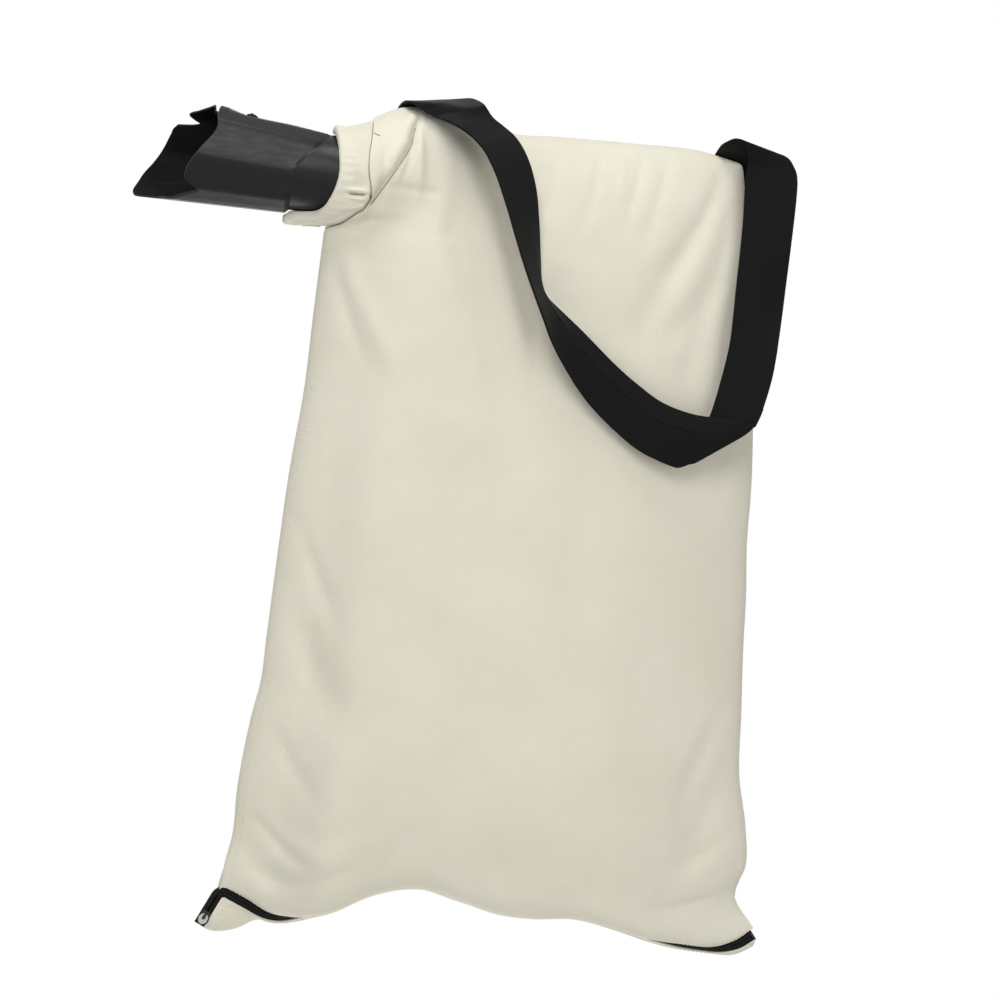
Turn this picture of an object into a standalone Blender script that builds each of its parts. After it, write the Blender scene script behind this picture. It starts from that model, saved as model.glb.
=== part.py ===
"""Canvas collection bag of a leaf blower and vacuum, with its moulded inlet duct.

Metres, +Z up, X to the right and Y away from the front. The origin is the centre of the
duct's mouth, where the bag plugs into the machine and hangs from it.
"""

import math

import bpy
import numpy as np

CLEARANCE = 0.0003  # between pieces that touch

# Inlet duct: a tapered, faceted moulding with an oblique mouth and a round spigot
DUCT_TILT = math.radians(10.8)
DUCT_LENGTH = 0.150
DUCT_HALF_HEIGHT = 0.0395
DUCT_HALF_WIDTH = 0.0385
DUCT_TAPER = 0.0726  # half height lost along each metre
DUCT_WALL = 0.0025
SPIGOT_RADIUS = 0.031
SHOULDER_START = 0.0945
SHOULDER_RAKE = 0.7
SHOULDER_LENGTH = 0.004
BEAD_HEIGHT = 0.0016
BEAD_LENGTH = 0.004
CORNER_ROUNDING = 0.14
DUCT_TOP = 0.0325  # of the flat top behind the lip
LIP_END = 0.0400
LIP_RAMP = 0.0055
# Corners of the upper near side of the section, as shares of its half width and half height
DUCT_SECTION = [(0.35, 1.0), (0.80, 0.69), (1.0, -0.10), (0.82, -0.74), (0.40, -1.04)]
# The mouth's edge: degrees round from the top towards the front, and metres along the axis
MOUTH_EDGE = [
    (0, 0.040), (14, 0.0335), (50, 0.032), (72, 0.0335), (95, 0.025), (118, 0.017), (135, 0.023),
    (160, 0.006), (200, -0.010), (222, -0.020), (240, -0.022), (262, -0.012), (288, 0.0),
    (295, 0.017), (303, 0.018), (311, 0.0095), (341, 0.026), (352, 0.027), (360, 0.040),
]
CATCH_START = 0.055
CATCH_LENGTH = 0.010
CATCH_HEIGHT = 0.0034
CATCH_WIDTH = 0.016

# Neck: a gathered hem round the duct and a sleeve that widens to the bag
# The hem's middle: degrees round from the top, on both sides alike, and metres along the duct
HEM_LINE = [
    (0, 0.1234), (30, 0.1275), (60, 0.1320), (90, 0.1352), (120, 0.1318), (140, 0.1268),
    (155, 0.1195), (168, 0.1060), (175, 0.0995), (180, 0.0982),
]
HEM_RADIUS = 0.0038
HEM_SEAT = 0.6  # share of the hem's radius at which the sleeve leaves it
HEM_GATHERS = 18
HEM_GATHER_DEPTH = 0.0004
SLEEVE_WALL = 0.0014
SLEEVE_PLEATS = 9
SLEEVE_PLEAT_DEPTH = 0.0010
SLEEVE_SWELL = 0.0012
NECK_RADIUS = 0.0458
NECK_BELLY = 0.011  # how far the neck's seam bows towards the bag in front and behind
NECK_SEAM_GAP = 0.0005  # between the sleeve and the panels sewn to it
NECK_CENTRE_X = 0.1365
NECK_CENTRE_Z = -0.0210
NECK_TILT = math.radians(24.04)

# Bag body, seen from the front
BAG_TOP_WIDTH = 0.2797
BAG_TOP_DROP = 0.0357  # how much lower the right end of the top edge lies
BAG_HEIGHT = 0.5834  # along the left edge, from the neck's top to the zip
BAG_LEFT_SPREAD = 0.1156  # how far the lower left corner lies left of the neck's top
BAG_RIGHT_SPREAD = 0.0083
BAG_BOTTOM_DROP = 0.0320
FRONT_BULGE = 0.046
BACK_BULGE = 0.042
CANVAS = 0.0010
NECK_SHARE = 0.17  # part of the left edge that runs round the neck
NECK_REACH = 0.34  # share across the bag where the neck's roundness has gone
WAVE_FADE = 4  # how fast the top edge's wave dies away down the bag
# Waves of the edges: share of the edge, then metres away from the straight line
TOP_WAVE = [(0, 0), (0.07, 0.0095), (0.18, 0.0120), (0.27, 0.0100), (0.37, 0.0015), (0.50, 0.0029),
            (0.72, 0.0053), (0.89, 0.0058), (1, 0)]
LEFT_WAVE = [(0, 0), (0.12, 0.0016), (0.25, 0.0037), (0.36, 0.0023), (0.51, 0.0033), (0.62, 0.0046),
             (0.69, 0.0054), (0.74, 0.0026), (0.85, 0.0004), (0.93, 0.0020), (0.97, -0.0008), (1, 0)]
RIGHT_WAVE = [(0, 0), (0.15, 0.0048), (0.34, 0.0048), (0.42, 0.0030), (0.50, -0.0012), (0.56, -0.0022),
              (0.64, -0.0052), (0.72, -0.0072), (0.80, -0.0094), (0.87, -0.0052), (0.92, -0.0058),
              (0.955, -0.0140), (1, 0)]
BOTTOM_WAVE = [(0, 0), (0.05, -0.0080), (0.09, -0.0160), (0.13, -0.0188), (0.18, -0.0158),
               (0.21, -0.0125), (0.28, 0.0022), (0.34, 0.0090), (0.39, 0.0100), (0.45, 0.0032),
               (0.52, -0.0042), (0.58, -0.0054), (0.665, -0.0033), (0.715, -0.0062), (0.775, -0.0119),
               (0.85, -0.0157), (0.91, -0.0152), (0.955, -0.0115), (1, 0)]
ROLL_DEPTH = 0.028  # how far the bag's lowest fold lies in front of and behind the zip

# Folds of the front: start and end as shares across and down, half width, depth inwards
FRONT_FOLDS = [
    (0.28, 0.06, 0.50, 0.42, 0.018, 0.0075),
    (0.86, 0.10, 0.74, 0.24, 0.014, 0.0040),
    (0.90, 0.17, 0.80, 0.25, 0.010, 0.0030),
    (0.02, 0.62, 0.17, 0.76, 0.015, 0.0045),
    (0.02, 0.955, 0.19, 0.985, 0.010, 0.0060),
    (0.06, 0.925, 0.24, 0.945, 0.014, -0.0060),
    (0.97, 0.78, 0.86, 0.91, 0.013, 0.0050),
    (0.97, 0.955, 0.93, 0.985, 0.008, 0.0050),
    (0.44, 0.955, 0.52, 0.985, 0.012, 0.0045),
]

# Side and top seams: a flat stitched bead between the two panels
SEAM_HALF = 0.0010
SEAM_DEPTH = 0.0035
SEAM_PROUD = 0.0006

# Zip
ZIP_TAPE_HALF = 0.0046  # from the zip's middle to the edge of one tape
ZIP_SHOWN_HALF = 0.0038
ZIP_BELOW = 0.0048  # from the bag's bottom edge down to the zip's middle at both corners
ZIP_HEM = 0.0024  # how far the back panel reaches past the tape before it turns in
ZIP_TAPE_THICKNESS = 0.0006
ZIP_SEAM_GAP = 0.0005  # between the tapes and the panels sewn over them
ZIP_COIL_WIDTH = 0.0019
ZIP_COIL_HEIGHT = 0.0012
ZIP_LANE = 0.0004  # between the two coils where they are closed
SLIDER_LANE = 0.0018  # between the two coils where the slider travels
SLIDER_TRAVEL = 0.012
ZIP_CORNER_RADIUS = 0.0060
ZIP_TAIL = 0.0310  # from the zip's lower end to its corner
CORNER_FORWARD = 0.0025  # how far the zip's ends lie before the side seams
ZIP_TAIL_LEAN = math.radians(58.7)
ZIP_UNDER_TURN = math.radians(60)  # how far the zip turns to face the ground under the bag
SLIDER_POSITION = 0.0070  # from the tape's end to the slider's middle
SLIDER_LENGTH = 0.0100
SLIDER_WIDTH = 0.0090
SLIDER_PLATE = 0.0010
SLIDER_POST_WIDTH = 0.0010
SLIDER_POST_LENGTH = 0.0030
CROWN_HEIGHT = 0.0022
CROWN_WIDTH = 0.0016
CROWN_LENGTH = 0.0050
CROWN_STRAP = 0.0006
PULL_WIDTH = 0.0070
PULL_LENGTH = 0.0085
PULL_THICKNESS = 0.0009
PULL_BAR = 0.0009
STOP_LENGTH = 0.0014
STOP_WIDTH = 0.0022
STOP_HEIGHT = 0.0018

# Flap of the back panel that shows below the zip at both ends
LEFT_FLAP_DROP = 0.0222
LEFT_FLAP_REACH = 0.0100  # how far the flap's tip lies left of the zip's corner
RIGHT_FLAP_DROP = 0.0025
FLAP_DEPTH = 0.0045
FLAP_SHARE = 0.10  # share of the bag's width where the zip goes round its left corner

# Shoulder strap
STRAP_WIDTH = 0.038
STRAP_THICKNESS = 0.0016
STRAP_LIFT = 0.0050  # between the bag and the strap that hangs before it
STRAP_SEAT = 0.0014  # between the back panel and the strap's sewn ends
CREST_RISE = 0.0022  # height above the bag's top edge from which the strap may cross it
STRAP_START = 0.32  # share of the top edge that the strap's left run is measured from
FOLD_RADIUS = 0.0015  # of the strap's slanted fold
# The strap's way, by hand: share from the left run to the right corner, metres across and up from
# there to the strap's middle, and the direction of its width, seen from the front, in half widths
STRAP_LEFT = [
    (0, -0.0600, -0.0745, 1.00, 0.00), (0, -0.0600, -0.0450, 1.00, 0.02),
    (0, -0.0597, -0.0180, 1.00, 0.02), (0, -0.0545, 0.0080, 1.06, 0.04),
    (0, -0.0430, 0.0190, 1.18, 0.06), (0, -0.0277, 0.0120, 1.06, 0.22),
    (0, -0.0129, 0.0011, 0.72, 0.18), (0, 0.0000, -0.0095, 0.64, 0.22),
    (0, 0.0114, -0.0247, 0.64, 0.30), (0, 0.0228, -0.0593, 0.56, 0.40),
    (0.05, 0.0204, -0.0969, 0.38, 0.26), (0.10, 0.0188, -0.1261, 0.20, 0.36),
    (0.15, 0.0157, -0.1382, 0.18, 0.60), (0.20, 0.0160, -0.1537, 0.22, 0.86),
    (0.40, 0.0047, -0.1836, 0.36, 0.96), (0.65, -0.0128, -0.2036, 0.52, 0.90),
    (0.80, -0.0248, -0.2092, 0.68, 0.88), (0.90, -0.0283, -0.2117, 0.94, 0.86),
    (1, -0.0327, -0.2117, 1.24, 0.90), (1, -0.0201, -0.2151, 1.50, 0.84),
]
STRAP_RIGHT = [
    (1, -0.0137, -0.2029, 1.48, 0.92), (1, -0.0027, -0.1786, 1.26, 0.80),
    (1, 0.0076, -0.1379, 1.00, 0.14), (1, 0.0125, -0.1011, 0.98, -0.08),
    (1, 0.0189, -0.0479, 1.02, 0.00), (1, 0.0216, -0.0150, 1.04, -0.16),
    (1, 0.0222, -0.0010, 0.96, -0.28), (1, 0.0160, 0.0116, 0.90, -0.34),
    (1, 0.0023, 0.0098, 0.92, -0.24), (1, -0.0099, -0.0103, 0.92, -0.26),
    (1, -0.0160, -0.0407, 0.96, -0.14), (1, -0.0186, -0.0737, 1.00, 0.00),
]

FRONT_ROWS = 25
BACK_ROWS = 22
NECK_ROWS = 10
# Shares across where both panels and the zip have a row of points, right of the zip's corner
BAG_COLUMNS = [0.12, 0.145, 0.17, 0.20, 0.25, 0.32, 0.40, 0.48, 0.56, 0.64, 0.71, 0.77, 0.83,
               0.88, 0.93, 0.965, 1.0]

DARK_PLASTIC = (0.016, 0.017, 0.018)
CANVAS_COLOUR = (0.70, 0.67, 0.55)
SEAM_COLOUR = (0.66, 0.63, 0.52)
BLACK_TAPE = (0.012, 0.012, 0.013)
PALE_METAL = (0.42, 0.43, 0.40)


def material(name, colour, roughness, metallic=0.0):
    made = bpy.data.materials.new(name)
    made.use_nodes = True
    shader = made.node_tree.nodes["Principled BSDF"]
    shader.inputs["Base Color"].default_value = (*colour, 1.0)
    shader.inputs["Roughness"].default_value = roughness
    shader.inputs["Metallic"].default_value = metallic
    return made


def unit(vector):
    vector = np.asarray(vector, float)
    return vector / np.maximum(np.linalg.norm(vector, axis=-1, keepdims=True), 1e-12)


def signed_volume(points, faces):
    total = 0.0
    for face in faces:
        for k in range(1, len(face) - 1):
            total += np.dot(points[face[0]], np.cross(points[face[k]], points[face[k + 1]]))
    return total


def mesh_object(name, points, faces, look):
    """One closed body from points and faces, with its faces pointing out."""
    points = np.asarray(points, float).reshape(-1, 3)
    if signed_volume(points, faces) < 0:
        faces = [face[::-1] for face in faces]
    mesh = bpy.data.meshes.new(name)
    mesh.from_pydata([tuple(p) for p in points], [], [tuple(int(i) for i in face) for face in faces])
    mesh.validate()
    mesh.shade_smooth()
    mesh.set_sharp_from_angle(angle=math.radians(40))
    mesh.materials.append(look)
    made = bpy.data.objects.new(name, mesh)
    bpy.context.scene.collection.objects.link(made)
    return made


def sheet(name, outer, inner, look, closed=False):
    """A solid between two grids of points; a closed one joins its last column to its first."""
    rows, columns = outer.shape[:2]
    count = rows * columns
    points = np.concatenate([outer.reshape(-1, 3), inner.reshape(-1, 3)])

    def at(i, j, layer):
        return layer * count + i * columns + j % columns

    faces = []
    spans = columns if closed else columns - 1
    for i in range(rows - 1):
        for j in range(spans):
            faces.append((at(i, j, 0), at(i + 1, j, 0), at(i + 1, j + 1, 0), at(i, j + 1, 0)))
            faces.append((at(i, j, 1), at(i, j + 1, 1), at(i + 1, j + 1, 1), at(i + 1, j, 1)))
    for j in range(spans):
        faces.append((at(0, j, 0), at(0, j + 1, 0), at(0, j + 1, 1), at(0, j, 1)))
        last = rows - 1
        faces.append((at(last, j, 0), at(last, j, 1), at(last, j + 1, 1), at(last, j + 1, 0)))
    if not closed:
        end = columns - 1
        for i in range(rows - 1):
            faces.append((at(i, 0, 0), at(i, 0, 1), at(i + 1, 0, 1), at(i + 1, 0, 0)))
            faces.append((at(i, end, 0), at(i + 1, end, 0), at(i + 1, end, 1), at(i, end, 1)))
    return mesh_object(name, points, faces, look)


def tube(name, loops, look, closed=False):
    """A solid skinned over loops of points; a closed one joins its last loop to its first."""
    rows, columns = loops.shape[:2]

    def at(i, j):
        return (i % rows) * columns + j % columns

    faces = []
    for i in range(rows if closed else rows - 1):
        for j in range(columns):
            faces.append((at(i, j), at(i, j + 1), at(i + 1, j + 1), at(i + 1, j)))
    if not closed:
        faces.append(tuple(range(columns))[::-1])
        faces.append(tuple(at(rows - 1, j) for j in range(columns)))
    return mesh_object(name, loops, faces, look)


def prism(name, outline, depth_from, depth_to, place, look):
    """An outline in a plane, pushed from one depth to another; place turns it into the world."""
    near = [place(a, b, depth_from) for a, b in outline]
    far = [place(a, b, depth_to) for a, b in outline]
    return tube(name, np.array([near, far]), look)


def join(target, other):
    """Unites two overlapping bodies and removes the second."""
    modifier = target.modifiers.new("join", "BOOLEAN")
    modifier.operation = "UNION"
    modifier.solver = "EXACT"
    modifier.object = other
    bake(target)
    bpy.data.objects.remove(other)


def bake(target):
    graph = bpy.context.evaluated_depsgraph_get()
    made = bpy.data.meshes.new_from_object(target.evaluated_get(graph))
    target.modifiers.clear()
    target.data = made


def wave(points):
    """A smooth curve through (share, height) points, with level ends of each rise."""
    shares = np.array([p[0] for p in points], float)
    heights = np.array([p[1] for p in points], float)
    slopes = np.gradient(heights, shares)

    def height(at):
        at = np.clip(at, shares[0], shares[-1])
        k = np.clip(np.searchsorted(shares, at, side="right") - 1, 0, len(shares) - 2)
        span = shares[k + 1] - shares[k]
        t = (at - shares[k]) / span
        t2, t3 = t * t, t * t * t
        start = heights[k] * (2 * t3 - 3 * t2 + 1) + slopes[k] * span * (t3 - 2 * t2 + t)
        return start + heights[k + 1] * (3 * t2 - 2 * t3) + slopes[k + 1] * span * (t3 - t2)

    return height


def smooth_step(x, low, high):
    t = np.clip((x - low) / (high - low), 0, 1)
    return t * t * (3 - 2 * t)


class Path:
    """A curve through points, read by its length from the start."""

    def __init__(self, points, dense=12):
        points = np.asarray(points, float)
        padded = np.concatenate([[2 * points[0] - points[1]], points, [2 * points[-1] - points[-2]]])
        line = [points[0]]
        for k in range(len(points) - 1):
            a, b, c, d = padded[k : k + 4]
            for step in range(1, dense + 1):
                t = step / dense
                line.append(0.5 * (2 * b + (c - a) * t + (2 * a - 5 * b + 4 * c - d) * t**2
                                   + (3 * b - a - 3 * c + d) * t**3))
        self.line = np.array(line)
        steps = np.linalg.norm(np.diff(self.line, axis=0), axis=1)
        self.along = np.concatenate([[0], np.cumsum(steps)])
        self.length = self.along[-1]

    def at(self, length):
        return np.stack([np.interp(length, self.along, self.line[:, k]) for k in range(3)], axis=-1)

    def direction(self, length, reach=0.0008):
        ahead = self.at(np.minimum(length + reach, self.length))
        return unit(ahead - self.at(np.maximum(length - reach, 0)))


# The duct's own directions
DUCT_AXIS = np.array([math.cos(DUCT_TILT), 0, -math.sin(DUCT_TILT)])
DUCT_UP = np.array([math.sin(DUCT_TILT), 0, math.cos(DUCT_TILT)])
DEPTH = np.array([0.0, 1.0, 0.0])


def duct_place(along, up, depth):
    return along * DUCT_AXIS + up * DUCT_UP + depth * DEPTH


def duct_section():
    """The faceted section as (depth, up) shares, one point in each flat and three at each corner."""
    near = [(-a, b) for a, b in DUCT_SECTION]
    corners = np.array(near + [(-a, b) for a, b in near[::-1]])
    loop = []
    for k, corner in enumerate(corners):
        before, after = corners[k - 1], corners[(k + 1) % len(corners)]
        start = corner + (before - corner) * CORNER_ROUNDING
        end = corner + (after - corner) * CORNER_ROUNDING
        loop += [start, (start + end) / 4 + corner / 2, end, (corner + after) / 2]
    return with_mouth_points(np.array(loop))


def section_degrees(section):
    """Degrees round from the top towards the front."""
    return np.degrees(np.arctan2(-section[:, 0], section[:, 1])) % 360


def with_mouth_points(loop):
    """Adds a point in a flat of the section wherever the mouth's edge has a corner."""
    degrees = section_degrees(loop)
    extra = [p[0] for p in MOUTH_EDGE if np.abs(degrees - p[0]).min() > 2 and 0 < p[0] < 360]
    order = np.argsort(degrees)
    added = [np.interp(extra, degrees[order], loop[order, k], period=360) for k in range(2)]
    loop = np.concatenate([loop, np.stack(added, axis=1)])
    return loop[np.argsort(section_degrees(loop))]


def duct_loop(section, along, shrink):
    """The duct's surface, wall removed where shrink says, at one place along for each column."""
    scale = 1 - DUCT_TAPER * along / DUCT_HALF_HEIGHT
    faceted = section * np.array([DUCT_HALF_WIDTH, DUCT_HALF_HEIGHT]) * scale[:, None]
    lip = (DUCT_HALF_HEIGHT - DUCT_TOP) * (1 - smooth_step(along, LIP_END - LIP_RAMP, LIP_END))
    faceted[:, 1] = np.minimum(faceted[:, 1], DUCT_TOP + lip)
    rounded = unit(section) * SPIGOT_RADIUS
    start = shoulder_start(section)
    blend = smooth_step(along, start, start + SHOULDER_LENGTH)[:, None]
    flat = faceted * (1 - blend) + rounded * blend
    flat = flat * (1 - shrink / np.linalg.norm(flat, axis=1, keepdims=True))
    return along[:, None] * DUCT_AXIS + flat[:, 1:] * DUCT_UP + flat[:, :1] * DEPTH


def shoulder_start(section):
    return SHOULDER_START + SHOULDER_RAKE * np.maximum(section[:, 1], 0) * SPIGOT_RADIUS


def mouth_edge(section):
    return np.interp(section_degrees(section), [p[0] for p in MOUTH_EDGE], [p[1] for p in MOUTH_EDGE])


def make_duct(look):
    section = duct_section()
    mouth = mouth_edge(section)
    start = shoulder_start(section)
    bead = DUCT_LENGTH - BEAD_LENGTH
    lip = np.maximum(mouth + CLEARANCE, LIP_END)
    stations = [mouth, lip, (lip + start) / 2, start, start + SHOULDER_LENGTH / 2, start + SHOULDER_LENGTH]
    stations += [np.full_like(mouth, s) for s in (bead - BEAD_HEIGHT, bead, DUCT_LENGTH - BEAD_HEIGHT / 2)]
    stations.append(np.full_like(mouth, DUCT_LENGTH))
    growth = [0, 0, 0, 0, 0, 0, 0, BEAD_HEIGHT, BEAD_HEIGHT, BEAD_HEIGHT / 2]
    outer = np.array([duct_loop(section, s, -g) for s, g in zip(stations, growth)])
    inner = np.array([duct_loop(section, s, DUCT_WALL) for s in stations])
    duct = sheet("inlet_duct", outer, inner, look, closed=True)
    top = min(DUCT_HALF_HEIGHT - DUCT_TAPER * CATCH_START, DUCT_TOP)
    ramp = [
        (CATCH_START, top - DUCT_WALL / 2),
        (CATCH_START, top + CATCH_HEIGHT),
        (CATCH_START + CATCH_LENGTH * 0.4, top + CATCH_HEIGHT),
        (CATCH_START + CATCH_LENGTH, top - DUCT_WALL / 2),
    ]
    catch = prism("catch", ramp, -CATCH_WIDTH / 2, CATCH_WIDTH / 2, duct_place, look)
    join(duct, catch)
    return duct


def duct_reach(turn, low, high):
    """The duct's outermost radius between two places along it, for each turn from its top."""
    section = duct_section()
    radii = np.zeros(len(turn))
    for share in np.linspace(0, 1, 7):
        for k, place in enumerate(low + (high - low) * share):
            loop = duct_loop(section, np.full(len(section), place), 0) - place * DUCT_AXIS
            angle = np.arctan2(-loop[:, 1], loop @ DUCT_UP)
            radius = np.interp(turn[k], *by_angle(angle, np.linalg.norm(loop, axis=1)), period=2 * math.pi)
            radii[k] = max(radii[k], radius)
    return radii


def by_angle(angle, values):
    order = np.argsort(angle % (2 * math.pi))
    return (angle % (2 * math.pi))[order], values[order]


hem_line = wave(HEM_LINE)


def hem_ring(columns):
    """Directions round the duct, and the hem's middle line there."""
    turn = np.linspace(0, 2 * math.pi, columns, endpoint=False)
    outward = np.cos(turn)[:, None] * DUCT_UP - np.sin(turn)[:, None] * DEPTH
    along = hem_line(180 - np.abs(180 - np.degrees(turn)))
    radius = duct_reach(turn, along - HEM_RADIUS, along + HEM_RADIUS) + CLEARANCE + HEM_RADIUS
    return turn, outward, along, radius


def make_hem(look):
    turn, outward, along, radius = hem_ring(2 * HEM_GATHERS)
    gather = HEM_GATHER_DEPTH * np.cos(HEM_GATHERS * turn)
    middle = along[:, None] * DUCT_AXIS + (radius + HEM_GATHER_DEPTH)[:, None] * outward
    loops = []
    for a in np.linspace(0, 2 * math.pi, 7, endpoint=False):
        size = (HEM_RADIUS + gather)[:, None]
        loops.append(middle + size * (math.cos(a) * outward + math.sin(a) * DUCT_AXIS))
    return tube("elastic_hem", np.stack(loops, axis=1), look, closed=True)


NECK_CENTRE = np.array([NECK_CENTRE_X, 0, NECK_CENTRE_Z])
NECK_AXIS = np.array([math.cos(NECK_TILT), 0, -math.sin(NECK_TILT)])
NECK_UP = np.array([math.sin(NECK_TILT), 0, math.cos(NECK_TILT)])


def neck_ring(turn, radius):
    """Points of the neck's mouth; a turn of 0 is its top and grows towards the front."""
    turn = np.asarray(turn)[..., None]
    ring = NECK_CENTRE + radius * (np.cos(turn) * NECK_UP - np.sin(turn) * DEPTH)
    return ring + NECK_BELLY * np.sin(turn) ** 2 * NECK_AXIS


def make_sleeve(look):
    turn, outward, along, radius = hem_ring(4 * SLEEVE_PLEATS)
    hem_side = along + HEM_RADIUS + HEM_GATHER_DEPTH + CLEARANCE
    rise = radius + HEM_RADIUS * HEM_SEAT
    start = hem_side[:, None] * DUCT_AXIS + rise[:, None] * outward
    end = neck_ring(turn, NECK_RADIUS) - NECK_SEAM_GAP * NECK_AXIS
    outer = []
    for share in (0, 0.33, 0.67, 1):
        middle = start * (1 - share) + end * share
        pleat = SLEEVE_PLEAT_DEPTH * np.cos(SLEEVE_PLEATS * turn) * math.sin(math.pi * share)
        swell = SLEEVE_SWELL * math.sin(math.pi * share)
        outer.append(middle + (pleat + swell)[:, None] * outward)
    outer = np.array(outer)
    return sheet("neck_sleeve", outer, outer - SLEEVE_WALL * outward, look, closed=True)


# Corners of the body seen from the front
TOP_LEFT = NECK_CENTRE + NECK_RADIUS * NECK_UP
NECK_BOTTOM = NECK_CENTRE - NECK_RADIUS * NECK_UP
TOP_RIGHT = TOP_LEFT + np.array([BAG_TOP_WIDTH, 0, -BAG_TOP_DROP])
BOTTOM_LEFT = TOP_LEFT + np.array([-BAG_LEFT_SPREAD, 0, -BAG_HEIGHT])
BOTTOM_RIGHT = np.array([TOP_RIGHT[0] + BAG_RIGHT_SPREAD, 0, BOTTOM_LEFT[2] - BAG_BOTTOM_DROP])

top_wave = wave(TOP_WAVE)
left_wave = wave(LEFT_WAVE)
right_wave = wave(RIGHT_WAVE)
bottom_wave = wave(BOTTOM_WAVE)


def top_edge(share):
    share = np.asarray(share, float)[..., None]
    return TOP_LEFT * (1 - share) + TOP_RIGHT * share + top_wave(share) * np.array([0, 0, 1.0])


def left_seam_line(share):
    share = np.asarray(share, float)[..., None]
    return NECK_BOTTOM * (1 - share) + BOTTOM_LEFT * share + left_wave(share) * np.array([1.0, 0, 0])


def right_edge(share):
    share = np.asarray(share, float)[..., None]
    return TOP_RIGHT * (1 - share) + BOTTOM_RIGHT * share + right_wave(share) * np.array([1.0, 0, 0])


def bottom_edge(share):
    share = np.asarray(share, float)[..., None]
    return BOTTOM_LEFT * (1 - share) + BOTTOM_RIGHT * share + bottom_wave(share) * np.array([0, 0, 1.0])


SEAM_GAP = SEAM_HALF + CLEARANCE
FOOT_START = 0.93  # share down the panels where the seams end and the corners begin


def left_edge(share, side):
    """The panel's left edge: half of the neck's mouth, then the side seam."""
    share = np.asarray(share, float)
    least = math.asin(min(SEAM_GAP / NECK_RADIUS, 0.5))
    turn = least + (math.pi - 2 * least) * np.clip(share / NECK_SHARE, 0, 1)
    ring = neck_ring(turn, NECK_RADIUS)
    ring[..., 1] *= -side
    seam = left_seam_line(np.clip((share - NECK_SHARE) / (1 - NECK_SHARE), 0, 1))
    seam[..., 1] = side * SEAM_GAP
    return np.where((share < NECK_SHARE)[..., None], ring, seam)


def middle_share(across):
    """1 where the zip lies hidden under the bag, 0 at both corners."""
    return smooth_step(across, 0.08, 0.20) * (1 - smooth_step(across, 0.70, 0.95))


def under_turn(across):
    """The angle by which the zip faces the ground."""
    share = smooth_step(across, 0.005, 0.15) * (1 - smooth_step(across, 0.90, 1.0))
    return ZIP_UNDER_TURN * share


def roll_line(across, side):
    """The bag's lowest fold, in front of the zip or behind it."""
    line = bottom_edge(across)
    edge = CORNER_FORWARD + ZIP_TAPE_THICKNESS + CANVAS + CLEARANCE
    edge = edge + ZIP_TAPE_HALF * np.sin(under_turn(across))
    if side > 0:
        edge = FLAP_DEPTH
        drop = (ZIP_BELOW + ZIP_TAPE_HALF + ZIP_HEM) * np.cos(under_turn(across))
        line[..., 2] -= drop * (1 - middle_share(across))
        line[..., 2] -= LEFT_FLAP_DROP * (1 - smooth_step(across, 0, 0.8 * FLAP_SHARE))
        line[..., 2] -= RIGHT_FLAP_DROP * smooth_step(across, 0.94, 1.0)
        line[..., 0] -= LEFT_FLAP_REACH * (1 - smooth_step(across, 0, 0.4 * FLAP_SHARE))
        line[..., 2] += CANVAS * middle_share(across)
    line[..., 1] = side * (edge + (ROLL_DEPTH - edge) * middle_share(across))
    return line


def fold_depth(across, down):
    """How far the folds push the front inwards."""
    total = np.zeros_like(across)
    width, height = BAG_TOP_WIDTH + BAG_LEFT_SPREAD, BAG_HEIGHT
    for a0, d0, a1, d1, reach, depth in FRONT_FOLDS:
        start = np.array([a0 * width, d0 * height])
        line = np.array([a1 * width, d1 * height]) - start
        apart = np.stack([across * width, down * height], axis=-1) - start
        share = np.clip((apart @ line) / (line @ line), 0, 1)
        near = np.linalg.norm(apart - share[..., None] * line, axis=-1)
        ends = np.sin(math.pi * np.clip(0.12 + 0.76 * share, 0, 1))
        total += depth * ends * np.exp(-((near / reach) ** 2))
    return total


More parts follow.
